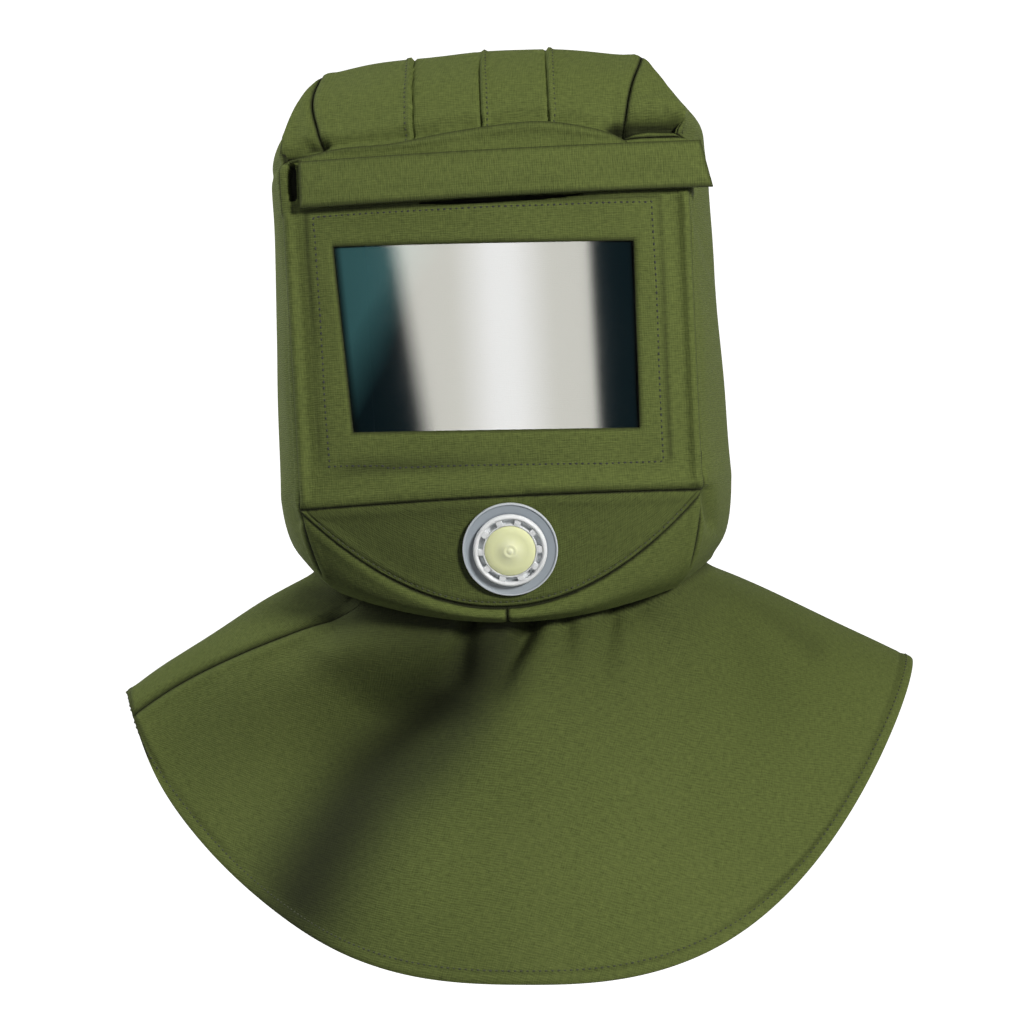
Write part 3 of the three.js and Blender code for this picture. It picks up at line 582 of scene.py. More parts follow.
def declare_sheet(piece, panel, with_pieces=()):
    """The piece stands for that panel of cloth."""
    settle(piece, "canvas", panel)


# Nodes and materials

def add_node(tree, kind, inputs, output, settings):
    """A node with its settings made and its inputs linked or set. Gives one of its outputs."""
    made = tree.nodes.new(kind)
    for key, value in settings.items():
        setattr(made, key, value)
    for key, value in (inputs or {}).items():
        feed(tree, made.inputs[key], value)
    return made.outputs[output]


def feed(tree, target, value):
    """Links a socket to an input, or sets the input to a value."""
    value = value.socket if isinstance(value, Shade) else value
    if isinstance(value, bpy.types.NodeSocket):
        tree.links.new(value, target)
    else:
        target.default_value = value


class Shade:
    """A socket in a material. Operators on it add Math nodes, and node adds any other."""

    def __init__(self, tree, socket=None):
        self.tree, self.socket = tree, socket

    def node(self, kind, inputs=None, output=0, **settings):
        return Shade(self.tree, add_node(self.tree, kind, inputs, output, settings))

    def math(self, operation, *values):
        return self.node("ShaderNodeMath", dict(enumerate(values)), operation=operation)

    def __add__(self, other):
        return self.math("ADD", self, other)

    def __radd__(self, other):
        return self.math("ADD", other, self)

    def __sub__(self, other):
        return self.math("SUBTRACT", self, other)

    def __rsub__(self, other):
        return self.math("SUBTRACT", other, self)

    def __mul__(self, other):
        return self.math("MULTIPLY", self, other)

    def __rmul__(self, other):
        return self.math("MULTIPLY", other, self)

    def __truediv__(self, other):
        return self.math("DIVIDE", self, other)

    def __abs__(self):
        return self.math("ABSOLUTE", self)

    def clamp(self):
        return self.node("ShaderNodeClamp", {"Value": self})

    def wave(self, period):
        """A row of rounded ridges, one to each period."""
        return abs(self.math("SINE", self * (math.pi / period)))

    def mix(self, first, second):
        """Colours mixed by this value."""
        first, second = (value if isinstance(value, Shade) else (*value, 1) for value in (first, second))
        return self.node("ShaderNodeMix", {0: self, 6: first, 7: second}, 2, data_type="RGBA")

    def noise(self, scale, detail=2.0):
        """A cloudy value over these coordinates."""
        return self.node("ShaderNodeTexNoise", {"Vector": self, "Scale": scale, "Detail": detail})

    def axis(self, name):
        return self.node("ShaderNodeSeparateXYZ", {"Vector": self}, name)

    def bump(self, strength, distance):
        """Normals of a face with this height."""
        return self.node("ShaderNodeBump", {"Strength": strength, "Distance": distance, "Height": self})

    def place(self):
        return self.node("ShaderNodeTexCoord", output="Object")

    def flat(self):
        return self.node("ShaderNodeUVMap", uv_map="cloth")


def new_look(name):
    """A material with one Principled shader, and a Shade to write its nodes with."""
    material = bpy.data.materials.new(name)
    material.use_nodes = True
    return material, Shade(material.node_tree)


def paint(material, inputs):
    """Feeds the material's shader with Shades and values."""
    for key, value in inputs.items():
        feed(material.node_tree, material.node_tree.nodes["Principled BSDF"].inputs[key], value)
    return material


def look(name, maker, *values):
    """A material by name, made the first time that it is asked for."""
    return bpy.data.materials.get(name) or maker(*values)


def canvas_look(settings):
    """Woven canvas, rubbed paler in patches, and darkened by painted shade where the seam attribute says."""
    material, shade = new_look("olive_canvas")
    flat, place, pitch = shade.flat(), shade.place(), settings.pitch
    wobble = flat.noise(90.0)

    def grain(across, along):
        scale = (across / pitch, along / pitch, 1.0)
        return shade.node("ShaderNodeVectorMath", {0: flat, 1: scale}, operation="MULTIPLY").noise(1.0, 3.0)

    warp = (flat.axis("X") + wobble * (1.5 * pitch)).wave(pitch)
    weft = (flat.axis("Y") + wobble * (1.9 * pitch)).wave(pitch * 0.92)
    weave = warp * 0.4 + weft * 0.6
    threads = grain(0.3, 1.4) * 0.6 + grain(1.4, 0.3) * 0.4
    height = (weave * 0.32 + (threads - 0.5) * 1.5 + 0.3).clamp()
    worn = ((place.noise(9.0, 3.0) - 0.52) * 1.6 + (place.noise(420.0) - 0.55) * 0.9).clamp()
    faded = (worn * 0.5).mix(height.mix(settings.dark, settings.light), settings.worn)
    # Painted shade from the seam attribute, mixed towards near black: shade in seams, creases, folds and
    # gaps, along edges and below the hood.
    painted_shade = (shade.node("ShaderNodeAttribute", output="Fac", attribute_name="seam") * 0.92).clamp()
    return paint(material, {
        "Base Color": painted_shade.mix(faded, (0.008, 0.009, 0.004)), "Roughness": 0.96 - weave * 0.12,
        "Normal": height.bump(0.75, settings.depth), "Specular IOR Level": 0.12})


def thread_look(name, colour):
    """Thread mottled with a paler tone."""
    material, shade = new_look(name)
    twist = shade.place().noise(1500.0)
    lighter = tuple(min(1, 1.9 * channel) for channel in colour)
    return paint(material, {"Base Color": twist.mix(colour, lighter), "Roughness": 0.75 + twist * 0.2})


def pane_look(settings):
    """A tinted glossy sheet, greener at the left where the light comes through, with painted shadow along its
    left and right edges.
    """
    material, shade = new_look("clear_pane")
    place = shade.place()
    across, up, cloud = place.axis("X"), place.axis("Z"), place.noise(16.0)
    left = ((-0.052 - across) / 0.03 + (up + 0.17) / 0.05 + (cloud - 0.5) * 0.8).clamp()
    inside = across + 0.089 + (up + 0.117) * 0.056
    far_side = 0.084 + (up + 0.123) * 0.019 - across
    # Painted shadow of the pocket's edges on the pane, near black.
    rim = ((1 - inside / 0.0045).clamp() + (1 - far_side / 0.003).clamp()).clamp()
    return paint(material, {
        "Base Color": rim.mix(left.mix(settings.deep, settings.tint), (0.002, 0.003, 0.003)),
        "Roughness": 0.05 + cloud * 0.04, "Alpha": settings.alpha, "IOR": settings.ior})


def plastic_look(name, colour, edge, roughness, radius, band, sunk):
    """Moulded plastic with a paler band at a radius as a painted highlight, fine flow marks, and painted
    shade inside it if sunk.
    """
    material, shade = new_look(name)
    out, flow = shade.flat().axis("X"), shade.place().noise(160.0, 3.0)
    # The paler band at that radius is a painted highlight along the edge.
    lip = (1 - abs(out - radius) / band).clamp()
    under = colour
    # Painted shade on the flange inside the rim, seen through the slots.
    if sunk:
        under = (((radius * 0.82 - out) / 0.004).clamp() * 0.85).mix(colour, (0.05, 0.055, 0.06))
    toned = (lip * 0.9).mix(under, edge)
    streaked = (flow * 0.3).mix(toned, tuple(0.8 * c for c in colour))
    return paint(material, {
        "Base Color": streaked, "Roughness": roughness + flow * 0.12, "Normal": flow.bump(0.15, 0.0003),
        "Specular IOR Level": 0.3, "Subsurface Weight": 0 if sunk else 0.5,
        "Subsurface Radius": (0.006, 0.006, 0.006), "Subsurface Scale": 1})


def rubber_look(settings):
    """Pale silicone, thicker and whiter towards its middle."""
    material, shade = new_look("pale_rubber")
    middle, cloud = (1 - shade.flat().axis("X") / 0.009).clamp(), shade.place().noise(220.0, 3.0)
    toned = (middle * 0.7).mix(settings.rubber, (0.84, 0.86, 0.66))
    return paint(material, {
        "Base Color": (cloud * 0.35).mix(toned, (0.74, 0.78, 0.36)), "Roughness": 0.5 + cloud * 0.2,
        "Subsurface Weight": 0.2, "Subsurface Radius": (0.004, 0.004, 0.002)})


class NodeTree:
    """A Geometry Nodes tree with named inputs, whose last node gives realised, painted geometry."""

    def __init__(self, name, **inputs):
        self.tree = bpy.data.node_groups.new(name, "GeometryNodeTree")
        faces = self.tree.interface
        self.sockets = {key: faces.new_socket(name=key, in_out="INPUT", socket_type="NodeSocket" + kind)
                        for key, kind in inputs.items()}
        faces.new_socket(name="Geometry", in_out="OUTPUT", socket_type="NodeSocketGeometry")
        self.source = self.tree.nodes.new("NodeGroupInput")

    def __getitem__(self, key):
        return self.source.outputs[key]

    def node(self, kind, inputs=None, output=0, **settings):
        return add_node(self.tree, kind, inputs, output, settings)

    def finish(self, geometry):
        real = self.node("GeometryNodeRealizeInstances", {"Geometry": geometry})
        painted = self.node("GeometryNodeSetMaterial", {"Geometry": real, "Material": self["Material"]})
        self.tree.links.new(painted, self.tree.nodes.new("NodeGroupOutput").inputs["Geometry"])
        return self

    def run(self, name, mesh, values, material):
        """The tree's result on a mesh, as a plain mesh object."""
        carrier = bpy.data.objects.new(name + "_path", mesh)
        bpy.context.collection.objects.link(carrier)
        modifier = carrier.modifiers.new(name, "NODES")
        modifier.node_group = self.tree
        for key, value in {**values, "Material": material}.items():
            modifier[self.sockets[key].identifier] = value
        graph = bpy.context.evaluated_depsgraph_get()
        made = bpy.data.meshes.new_from_object(carrier.evaluated_get(graph))
        carrier.modifiers.remove(modifier)
        bpy.data.objects.remove(carrier)
        made.name = name
        return show(made, material)


def stitch_tree():
    """A stitch at each step along a path, laid along it and flat on the cloth."""
    tree = NodeTree("Stitch row", Geometry="Geometry", Pitch="Float", Length="Float", Width="Float",
                    Seed="Int", Material="Material")
    curve = tree.node("GeometryNodeMeshToCurve", {"Mesh": tree["Geometry"]})
    spaced = tree.node("GeometryNodeResampleCurve", {"Curve": curve, "Length": tree["Pitch"]}, mode="LENGTH")
    out = tree.node("GeometryNodeInputNamedAttribute", {"Name": "out"}, data_type="FLOAT_VECTOR")
    along = tree.node("GeometryNodeInputTangent")
    turn = tree.node("FunctionNodeAxesToRotation", {"Primary Axis": out, "Secondary Axis": along},
                     primary_axis="Z", secondary_axis="X")
    size = tree.node("ShaderNodeCombineXYZ", {"X": tree["Length"], "Y": tree["Width"], "Z": tree["Width"]})
    vary = tree.node("FunctionNodeRandomValue", {2: 0.85, 3: 1.1, "Seed": tree["Seed"]}, 1, data_type="FLOAT")
    scale = tree.node("ShaderNodeVectorMath", {"Vector": size, "Scale": vary}, operation="SCALE")
    bead = tree.node("GeometryNodeMeshUVSphere", {"Segments": 6, "Rings": 5, "Radius": 0.5})
    return tree.finish(tree.node("GeometryNodeInstanceOnPoints", {
        "Points": spaced, "Instance": bead, "Rotation": turn, "Scale": scale}))


def rib_tree():
    """Blocks set round a circle, each lying along its radius."""
    tree = NodeTree("Ribs round a circle", Geometry="Geometry", Count="Int", Radius="Float", Length="Float",
                    Width="Float", Height="Float", Middle="Float", Turn="Float", Material="Material")
    ring = tree.node("GeometryNodeMeshCircle", {"Vertices": tree["Count"], "Radius": tree["Radius"]})
    spin = tree.node("ShaderNodeCombineXYZ", {"Z": tree["Turn"]})
    lift = tree.node("ShaderNodeCombineXYZ", {"Z": tree["Middle"]})
    spun = tree.node("GeometryNodeTransform", {"Geometry": ring, "Rotation": spin, "Translation": lift})
    size = tree.node("ShaderNodeCombineXYZ", {"X": tree["Length"], "Y": tree["Width"], "Z": tree["Height"]})
    block = tree.node("GeometryNodeMeshCube", {"Size": size})
    place = tree.node("GeometryNodeInputPosition")
    turn = tree.node("FunctionNodeAlignRotationToVector", {"Vector": place}, axis="X", pivot_axis="Z")
    ribs = tree.node("GeometryNodeInstanceOnPoints", {"Points": spun, "Instance": block, "Rotation": turn})
    both = tree.node("GeometryNodeJoinGeometry", {0: ribs})
    tree.tree.links.new(tree["Geometry"], both.node.inputs[0])
    return tree.finish(both)


def laid_path(paths, sheet, sunk):
    """A mesh of paths laid on the finished face of a sheet, with the way out of it at each point."""
    tree = BVHTree.FromPolygons(sheet.outer.tolist(), sheet.quads.tolist())
    points, edges, outs = [], [], []
    for path in paths:
        start = len(points)
        for point in path:
            hit, normal, _, _ = tree.find_nearest(point)
            points.append((hit - normal * sunk / MM) * MM)
            outs.append(normal)
        edges += [(i, i + 1) for i in range(start, len(points) - 1)]
    mesh = bpy.data.meshes.new("stitch_path")
    mesh.from_pydata(points, edges, [])
    values = np.array([list(out) for out in outs], np.float32)
    mesh.attributes.new("out", "FLOAT_VECTOR", "POINT").data.foreach_set("vector", values.ravel())
    return mesh


def spaced_path(points, step=2.0):
    """A path with points at an even spacing."""
    lengths = path_lengths(points)
    marks = np.linspace(0, lengths[-1], max(2, round(lengths[-1] / step)))
    return np.stack([np.interp(marks, lengths, points[:, k]) for k in range(points.shape[1])], -1)


def sew(name, paths, sheet, settings, colour="fine"):
    """Rows of stitches along paths on a finished sheet."""
    stitch, look_name = settings.thread, colour + "_thread"
    thread = look(look_name, thread_look, look_name, getattr(stitch, colour))
    mesh = laid_path([spaced_path(path) for path in paths], sheet, stitch.width * 0.12)
    values = {"Pitch": stitch.pitch, "Length": stitch.length, "Width": stitch.width,
              "Seed": settings.cloth.seed}
    return settle(stitch_tree().run(name, mesh, values, thread), "canvas")


# The hood's panels

# Columns of points across each part of the hood, from its length and the step between them.
CHEEK = stops(31, 3, near=(18.8, 25))
CROWN = np.concatenate([-stops(93, 3.2, (False, True), [-x for x, _ in TUCKS.values() if x < 1])[:0:-1],
                        stops(82, 3.2, (False, True), [x * share for x, _ in TUCKS.values() if x > -1
                                                       for share in (0.9, 1)])])
SIDE = stops(112, 3.2, (True, False))
REAR = stops(130, 3.6, (False, True))
# Half of the turn that the crown takes at the back, and heights in a span where rows lie closer together.
SPINE_HALF = math.pi / 2 - REAR_SEAM
ROWS_NEAR = {LINTEL: (9, 14.2, 41.4)}


def places(first, last, ends=(True, True), step=3.2):
    """Places up the hood from one section to another, closer together by its seams."""
    return np.unique(np.concatenate([
        i + stops(SPAN_LENGTHS[i], step, (ends[0] and i == first, ends[1] and i == last - 1),
                  ROWS_NEAR.get(i, ()))
        for i in range(first, last)]))


def tuck_relief(points):
    """A tuck is a sewn line with the cloth folded up beside it, fading towards the back of the crown."""
    total = np.zeros(len(points))
    for x, side in TUCKS.values():
        off = points[:, 0] - x
        total += 1.5 * bell(off - 2 * side, 1.5) - 1.7 * bell(off, 0.8)
    return total * smooth((30 - points[:, 1]) / 80)


def crown_across(row):
    """Places of the crown's columns across the front."""
    return CROWN * np.where(CROWN < 0, row["left_share"], row["right_share"])


def cheek_across(row, side):
    """Places of the columns across one cheek, beside the crown's."""
    share = lerp(row["left_share"] if side < 0 else row["right_share"], 1, CHEEK)
    return share if side > 0 else -share[..., ::-1]


def front_across(row):
    left, right = (cheek_across(row, side) for side in (-1, 1))
    return np.concatenate([left, crown_across(row)[..., 1:-1], right], axis=-1)


def front_rows(rows, across):
    return front_point(rows[:, None], across(section(rows[:, None], True)))


def flank(rows, side):
    """One side of the hood, from its front seam round to its back seam, left to right seen from outside."""
    rows = rows[:, None]
    angle = REAR * REAR_SEAM if side > 0 else math.pi - REAR * REAR_SEAM
    grid = np.concatenate([side_point(rows, side, SIDE), rear_point(rows, angle)[:, 1:]], axis=1)
    return grid if side > 0 else grid[:, ::-1]


def crown_top():
    """The crown's top, closed from front to back over the last section."""
    last = np.array([TOP])
    front = front_rows(last, crown_across)[0]
    back = rear_point(TOP, math.pi / 2 - CROWN * SPINE_HALF)
    right, left = flank(last, 1)[0], flank(last, -1)[0][::-1]
    g = np.concatenate([SIDE / 2, 0.5 + REAR[1:] / 2])[:, None, None]
    f = ((CROWN + 1) / 2)[None, :, None]
    return (lerp(front[None], back[None], g) + lerp(left[:, None], right[:, None], f)
            - lerp(lerp(front[0], front[-1], f), lerp(back[0], back[-1], f), g))


def window_blocks(form, rows):
    """The front as a lattice drawn to the window's corners, with the window's cells left out."""
    lattice = front_rows(rows, front_across)
    x, z = lattice[..., 0], lattice[..., 2]
    low, high = (np.abs(z[:, 0] - WINDOW[pair, 1].mean()).argmin() for pair in ([0, 1], [2, 3]))
    left, right = (np.abs(x[0] - WINDOW[pair, 0].mean()).argmin() for pair in ([0, 3], [1, 2]))
    up = np.interp(z[:, 0], z[[0, low, high, -1], 0], (0, 1, 2, 3))
    across = np.interp(x[0], x[0, [0, left, right, -1]], (0, 1, 2, 3))
    moved = lattice[..., [0, 2]].copy()
    for (row, column), corner in zip(((low, left), (low, right), (high, right), (high, left)), WINDOW):
        near_row = np.clip(1 - np.abs(up - up[row]), 0, 1)
        near_column = np.clip(1 - np.abs(across - across[column]), 0, 1)
        moved += np.outer(near_row, near_column)[..., None] * (corner - lattice[row, column, [0, 2]])
    y = lattice[..., 1] + front_face(moved[..., 0], moved[..., 1]) - front_face(x, z)
    grid = np.stack([moved[..., 0], y, moved[..., 1]], -1)
    every, beside = slice(None), slice(low, high + 1)
    for part in ((slice(0, low + 1), every), (beside, slice(0, left + 1)), (beside, slice(right, None)),
                 (slice(high, None), every)):
        form.add("front_panel", grid[part], moved[part])


def hood_form():
    form = Form()
    band = places(NECK, CHIN_HEM)
    rise = places(BROW, TOP, (True, False))
    flanks = places(CHIN_SEAM, TOP, (False, False))
    for side, panel in ((-1, "side_left"), (1, "side_right")):
        form.add(panel, front_rows(band, crown_across)[:, side * CROWN >= 0])
        for rows in (band, rise):
            form.add(panel, front_rows(rows, lambda row, side=side: cheek_across(row, side)))
        for rows in (band, flanks):
            form.add(panel, flank(rows, side))
    for rows in (band, flanks):
        form.add("crown", rear_point(rows[:, None], math.pi / 2 + CROWN * SPINE_HALF))
    form.add("crown", front_rows(rise, crown_across))
    form.add("crown", crown_top())
    form.add("chin_panel", front_rows(places(CHIN_HEM, CHIN_SEAM, step=2.6), front_across))
    window_blocks(form, places(CHIN_SEAM, BROW))
    return form.weld()


def front_creases(points, normals):
    """Height of the creases in the front view, on cloth that faces forward."""
    total = np.zeros(len(points))
    for path, height, half in CREASES.values():
        total += height * bell(path_near(points, path)[0], half)
    return total * smooth((0.05 - normals[:, 1]) / 0.5)


def side_dents(points, normals):
    """How far the sides are drawn in, on cloth that faces sideways."""
    total = np.zeros(len(points))
    for side, z, half, depth in DENTS.values():
        total -= depth * bell(points[:, 2] - z, half) * smooth((side * normals[:, 0] - 0.25) / 0.5)
    return total


def pocket_mouths(points):
    """How far the openings into the pocket go in."""
    total = np.zeros(len(points))
    for x, z, half_x, half_z, depth, square in MOUTHS.values():
        across = np.abs(points[:, 0] - x) / half_x
        open_z = half_z * np.clip(1 - across ** square, 0, 1)
        total -= depth * smooth((open_z - np.abs(points[:, 2] - z)) / 1.1 + 0.5) * (across < 1)
    return total


def at_window(points):
    """Which points are on the edge of the window opening."""
    low, high = WINDOW.min(axis=0) - 4, WINDOW.max(axis=0) + 4
    inside = (points[:, [0, 2]] > low) & (points[:, [0, 2]] < high)
    return inside.all(axis=1) & (points[:, 1] < -100)


def seam_relief(distance, cloth):
    """A groove at the seam, the turned edge beside it, and the swell of the panel."""
    groove = -cloth.seam_depth * bell(distance, cloth.seam_width / MM)
    roll = cloth.seam_roll * bell(distance - 4.6, 2.6)
    full = cloth.fullness * (1 - bell(distance, 26))
    return (groove + roll + full) / MM


def front_finish(sheet, height, seam):
    """The window's edge, the row of stitches round the pocket, and the pocket's openings, with painted shade
    along the edge and the row and in the openings.
    """
    rim = sheet.edge_distance(at_window)
    outline, _ = path_near(sheet.points, closed(POCKET))
    mouths = pocket_mouths(sheet.points)
    height += -1.3 * bell(rim, 1.3) - 0.7 * bell(outline, 1.2) + mouths
    # Painted shade along the stitched line and the window's edge, and in the pocket's openings.
    marks = np.maximum(0.55 * bell(outline, 1.1), 0.8 * bell(rim, 0.8))
    return height, np.maximum(np.maximum(seam, marks), smooth(-mouths / 4))


def crown_finish(sheet, height, seam):
    """The tucks, and the dip of the crown's top."""
    dip = 2 * bell(sheet.points[:, 0], 60) * smooth((sheet.normals[:, 2] - 0.4) / 0.4)
    return height + (tuck_relief(sheet.points) - dip), seam


def chin_finish(sheet, height, seam):
    """The flat under the valve, the groove by the stitches at the lower edge, and painted shade in that
    groove and over the chin, darker at the left.
    """
    off = np.hypot(sheet.points[:, 0] - VALVE_PLACE["x"], sheet.points[:, 2] - VALVE_PLACE["z"])
    low = nearest_distance(sheet.points, front_point(CHIN_HEM, np.linspace(-1, 1, 400)))
    height += -1.4 * bell(off, 30) - 0.6 * bell(low - 3, 0.7) + 0.3 * bell(low - 1.5, 0.9)
    # Painted shade over the chin, darker at the left.
    left_shade = lerp(0.37, 0.18, smooth((sheet.points[:, 0] + 90) / 180))
    return height, np.maximum(np.maximum(seam, left_shade), 0.6 * bell(low - 3, 0.6))


def round_ridges(sheet, distance):
    """The crown's front and rear edges, rounded where they turn into its top."""
    edges = [front_point(TOP, np.linspace(-1, 1, 300)),
             rear_point(TOP, math.pi / 2 + np.linspace(-1, 1, 300) * SPINE_HALF)]
    ridge = nearest_distance(sheet.points, np.concatenate(edges))
    sheet.ease(bell(ridge, 16) * smooth((distance - 4) / 16), 60)


class HOOD_OT_panels(Operator):
    """Build the crown, sides, front and chin of the hood"""
    bl_idname = "dust_hood.panels"
    bl_label = "Hood panels"

    def execute(self, context):
        settings = context.scene.dust_hood
        cloth, canvas = settings.cloth, look("olive_canvas", canvas_look, settings.canvas)
        form = hood_form()
        finishes = {"front_panel": front_finish, "crown": crown_finish, "chin_panel": chin_finish}
        pieces, sheets = {}, {}
        for panel in ("front_panel", "crown", "side_left", "side_right", "chin_panel"):
            sheet = sheets[panel] = Sheet(form, panel)
            distance = sheet.edge_distance(lambda middle: ~at_window(middle))
            if panel == "crown":
                round_ridges(sheet, distance)
            creased = front_creases(sheet.points, sheet.normals)
            height = seam_relief(distance, cloth) + creased
            height += side_dents(sheet.points, sheet.normals)
            height += cloth.ripple / MM * slack(sheet.points, 70, cloth.seed) * (1 - bell(distance, 10))
            # Painted shade in the seam grooves and in the deepest creases.
            seam = np.maximum(bell(distance, 0.9), 0.9 * smooth((-creased - 2.5) / 5))
            if panel in finishes:
                height, seam = finishes[panel](sheet, height, seam)
            pieces[panel] = sheet.wall(panel + "_cloth", height, cloth.thickness / MM, canvas, seam)
        rows = self.stitches(sheets, settings)
        for panel, piece in pieces.items():
            declare_sheet(piece, panel, with_pieces=[rows[panel]] if panel in rows else ())
        return {"FINISHED"}

    def stitches(self, sheets, settings):
        """The window's outline, the chin's lower edge and the crown's tucks."""
        corners_in = POCKET + np.array([(3, 0), (-3, 0), (-2.5, -2.5), (2.5, -2.5)])
        window = closed(np.stack([corners_in[:, 0], np.full(4, -125.0), corners_in[:, 1]], -1))
        chin = front_point(CHIN_HEM, np.linspace(-0.9, 0.9, 120)) + (0, 0, 3.4)
        heights = np.linspace(BROW + 0.05, TOP, 40)
        half = section(heights, True)["x_seam"]
        tucks = [front_point(heights, (x + 4 * side) / half) for x, side in TUCKS.values()]
        return {"front_panel": sew("window_stitches", [window], sheets["front_panel"], settings, "dark"),
                "chin_panel": sew("chin_stitches", [chin], sheets["chin_panel"], settings),
                "crown": sew("tuck_stitches", tucks, sheets["crown"], settings)}


# The window

def frame_patches(form, panel, inner, rims, shares, depth):
    """The four sides of a frame, from the corners of its opening out to its rims."""
    for side, rim in enumerate(rims):
        lengths = path_lengths(rim)
        along = (lengths / lengths[-1])[:, None]
        edge = lerp(inner[side], inner[(side + 1) % len(inner)], along)
        xz = lerp(edge[:, None], rim[:, None], shares[None, :, None])
        y = front_face(xz[..., 0], xz[..., 1]) + depth
        form.add(panel, np.stack([xz[..., 0], y, xz[..., 1]], -1), xz)


def slab(name, rows_x, rows_z, face, relief, thickness, material, edge_height):
    """A strip of cloth or sheet over a grid of x and z, in front of the hood."""
    form = Form()
    form.add(name, np.stack([rows_x, face(rows_x, rows_z), rows_z], -1), np.stack([rows_z, rows_x], -1))
    sheet = Sheet(form.weld(), name)
    distance = sheet.edge_distance()
    height = relief(sheet.points, distance) + edge_height * bell(distance, 1.2)
    # Painted shade along the strip's edges.
    return sheet.wall(name, height, thickness, material, 0.7 * bell(distance, 1.6))


class HOOD_OT_window(Operator):
    """Build the pane, the pocket behind it, the flap over it and the pocket's lip"""
    bl_idname = "dust_hood.window"
    bl_label = "Window"

    def execute(self, context):
        settings = context.scene.dust_hood
        cloth, canvas = settings.cloth, look("olive_canvas", canvas_look, settings.canvas)
        pane = look("clear_pane", pane_look, settings.pane)
        self.pocket(cloth, canvas, settings.pane)
        self.pane(settings.pane, pane)
        self.flap(cloth, canvas)
        self.lip(cloth, canvas)
        return {"FINISHED"}

    def pocket(self, cloth, canvas, pane):
        """A tray that lies close behind the front at its rim, and behind the pane round its opening."""
        form = Form()
        steps = [np.linspace(0, 1, 40)[:, None], np.linspace(0, 1, 24)[:, None]] * 2
        rims = [lerp(POCKET[k], POCKET[(k + 1) % 4], steps[k]) for k in range(4)]
        deep, shallow = PANE_OFF + pane.thickness / MM + 2 * GAP, cloth.thickness / MM + 2 * GAP
        shares = np.array([0.1, 0.3, 0.5, 0.72, 0.79, 0.86, 0.93, 1])
        depth = np.interp(shares, (0.72, 0.86, 1), (deep, lerp(shallow, deep, 0.4), shallow))
        frame_patches(form, "window_pocket", WINDOW, rims, shares, depth)
        sheet = Sheet(form.weld(), "window_pocket")
        distance = sheet.edge_distance()
        height = -0.4 * bell(distance, 1.5)
        # Painted shade along the pocket's edges.
        piece = sheet.wall("window_pocket_cloth", height, cloth.thickness / MM, canvas, bell(distance, 2))
        declare_sheet(piece, "window_pocket")

    def pane(self, settings, material):
        """A sheet bowed like the front, with its edges behind the cloth."""
        low, high = WINDOW.min(axis=0) - PANE_LAP, WINDOW.max(axis=0) + PANE_LAP
        x, z = np.meshgrid(np.linspace(low[0], high[0], 72), np.linspace(low[1], high[1], 24))
        row = named(ROWS[LINTEL])

        def face(x, z):
            return row["y_edge"] - row["bow"] * (1 - (x / row["x_seam"]) ** 2) + PANE_OFF + 0 * z

        def relief(points, distance):
            return 0 * distance

        piece = slab("clear_pane", x, z, face, relief, settings.thickness / MM, material, -0.2)
        settle(piece, "pane", "lens")

    def flap(self, cloth, canvas):
        """A strip that stands further off the front at its lower edge, with a groove along its hem."""
        across, up = stops(231, 2.4), stops(28, 1.6)
        x, share = np.meshgrid(lerp(FLAP["left"], FLAP["right"], across), up)
        x = x + (2 + 6 * (1 - share)) * smooth((x - 84) / 40)
        z = lerp(FLAP["bottom"], FLAP["top"], share)

        def face(x, z):
            share = (z - FLAP["bottom"]) / (FLAP["top"] - FLAP["bottom"])
            return front_face(x, z) - lerp(FLAP["bottom_off"], FLAP["top_off"], share)

        def relief(points, distance):
            hem = np.abs(points[:, 2] - FLAP["bottom"] - 6.5)
            return (0.8 * slack(points, 55, cloth.seed + 1) * (1 - bell(distance, 5)) - 0.45 * bell(hem, 1.1)
                    + 0.5 * (1 - bell(distance, 9)))

        piece = slab("window_flap_cloth", x, z, face, relief, cloth.hem_thickness / MM, canvas, -0.9)
        declare_sheet(piece, "window_flap")

    def lip(self, cloth, canvas):
        """A strip with a wavy upper edge that leans back over the brow."""
        crest = spline(LIP, np.linspace(0, len(LIP) - 1, 90))
        up = stops(24, 1.6)[:, None]
        x = np.broadcast_to(crest[:, 0], (len(up), len(crest)))
        bottom = lerp(crest[:, 1] - 1.5, LIP_BOTTOM, smooth((crest[:, 0] + 108) / 12))
        z = lerp(bottom, crest[:, 1], up)
        brow, thick = named(ROWS[BROW])["z_mid"], cloth.hem_thickness / MM

        def face(x, z):
            return front_face(x, np.minimum(z, brow)) - thick - GAP + LIP_LEAN * np.maximum(0, z - brow)

        def relief(points, distance):
            roll = 1.4 * bell(distance - 3.5, 2.5) * smooth((points[:, 2] + 64) / 4)
            return 0.6 * slack(points, 24, cloth.seed + 2) * (1 - bell(distance, 4)) + roll - 0.4

        piece = slab("pocket_lip_cloth", x, z, face, relief, thick, canvas, -1.0)
        declare_sheet(piece, "pocket_lip")


# The cape

def fold_depth(across, along):
    """How far the folds draw the cape's front in."""
    total = np.zeros(np.broadcast(across, along).shape)
    for neck, hem, bend, half_neck, half_hem, left, depth, opened, end in FOLDS.values():
        middle = lerp(neck, hem, 1 - (1 - along) ** bend)
        off = (across - middle) / lerp(half_neck, half_hem, smooth(along / 0.3))
        off = np.where(off < 0, off / left, off)
        shut = smooth((along / end - FOLD_HOLD) / (1 - FOLD_HOLD))
        total = total + depth * np.exp(-off * off) * smooth(along / opened) * (1 - shut)
    return total


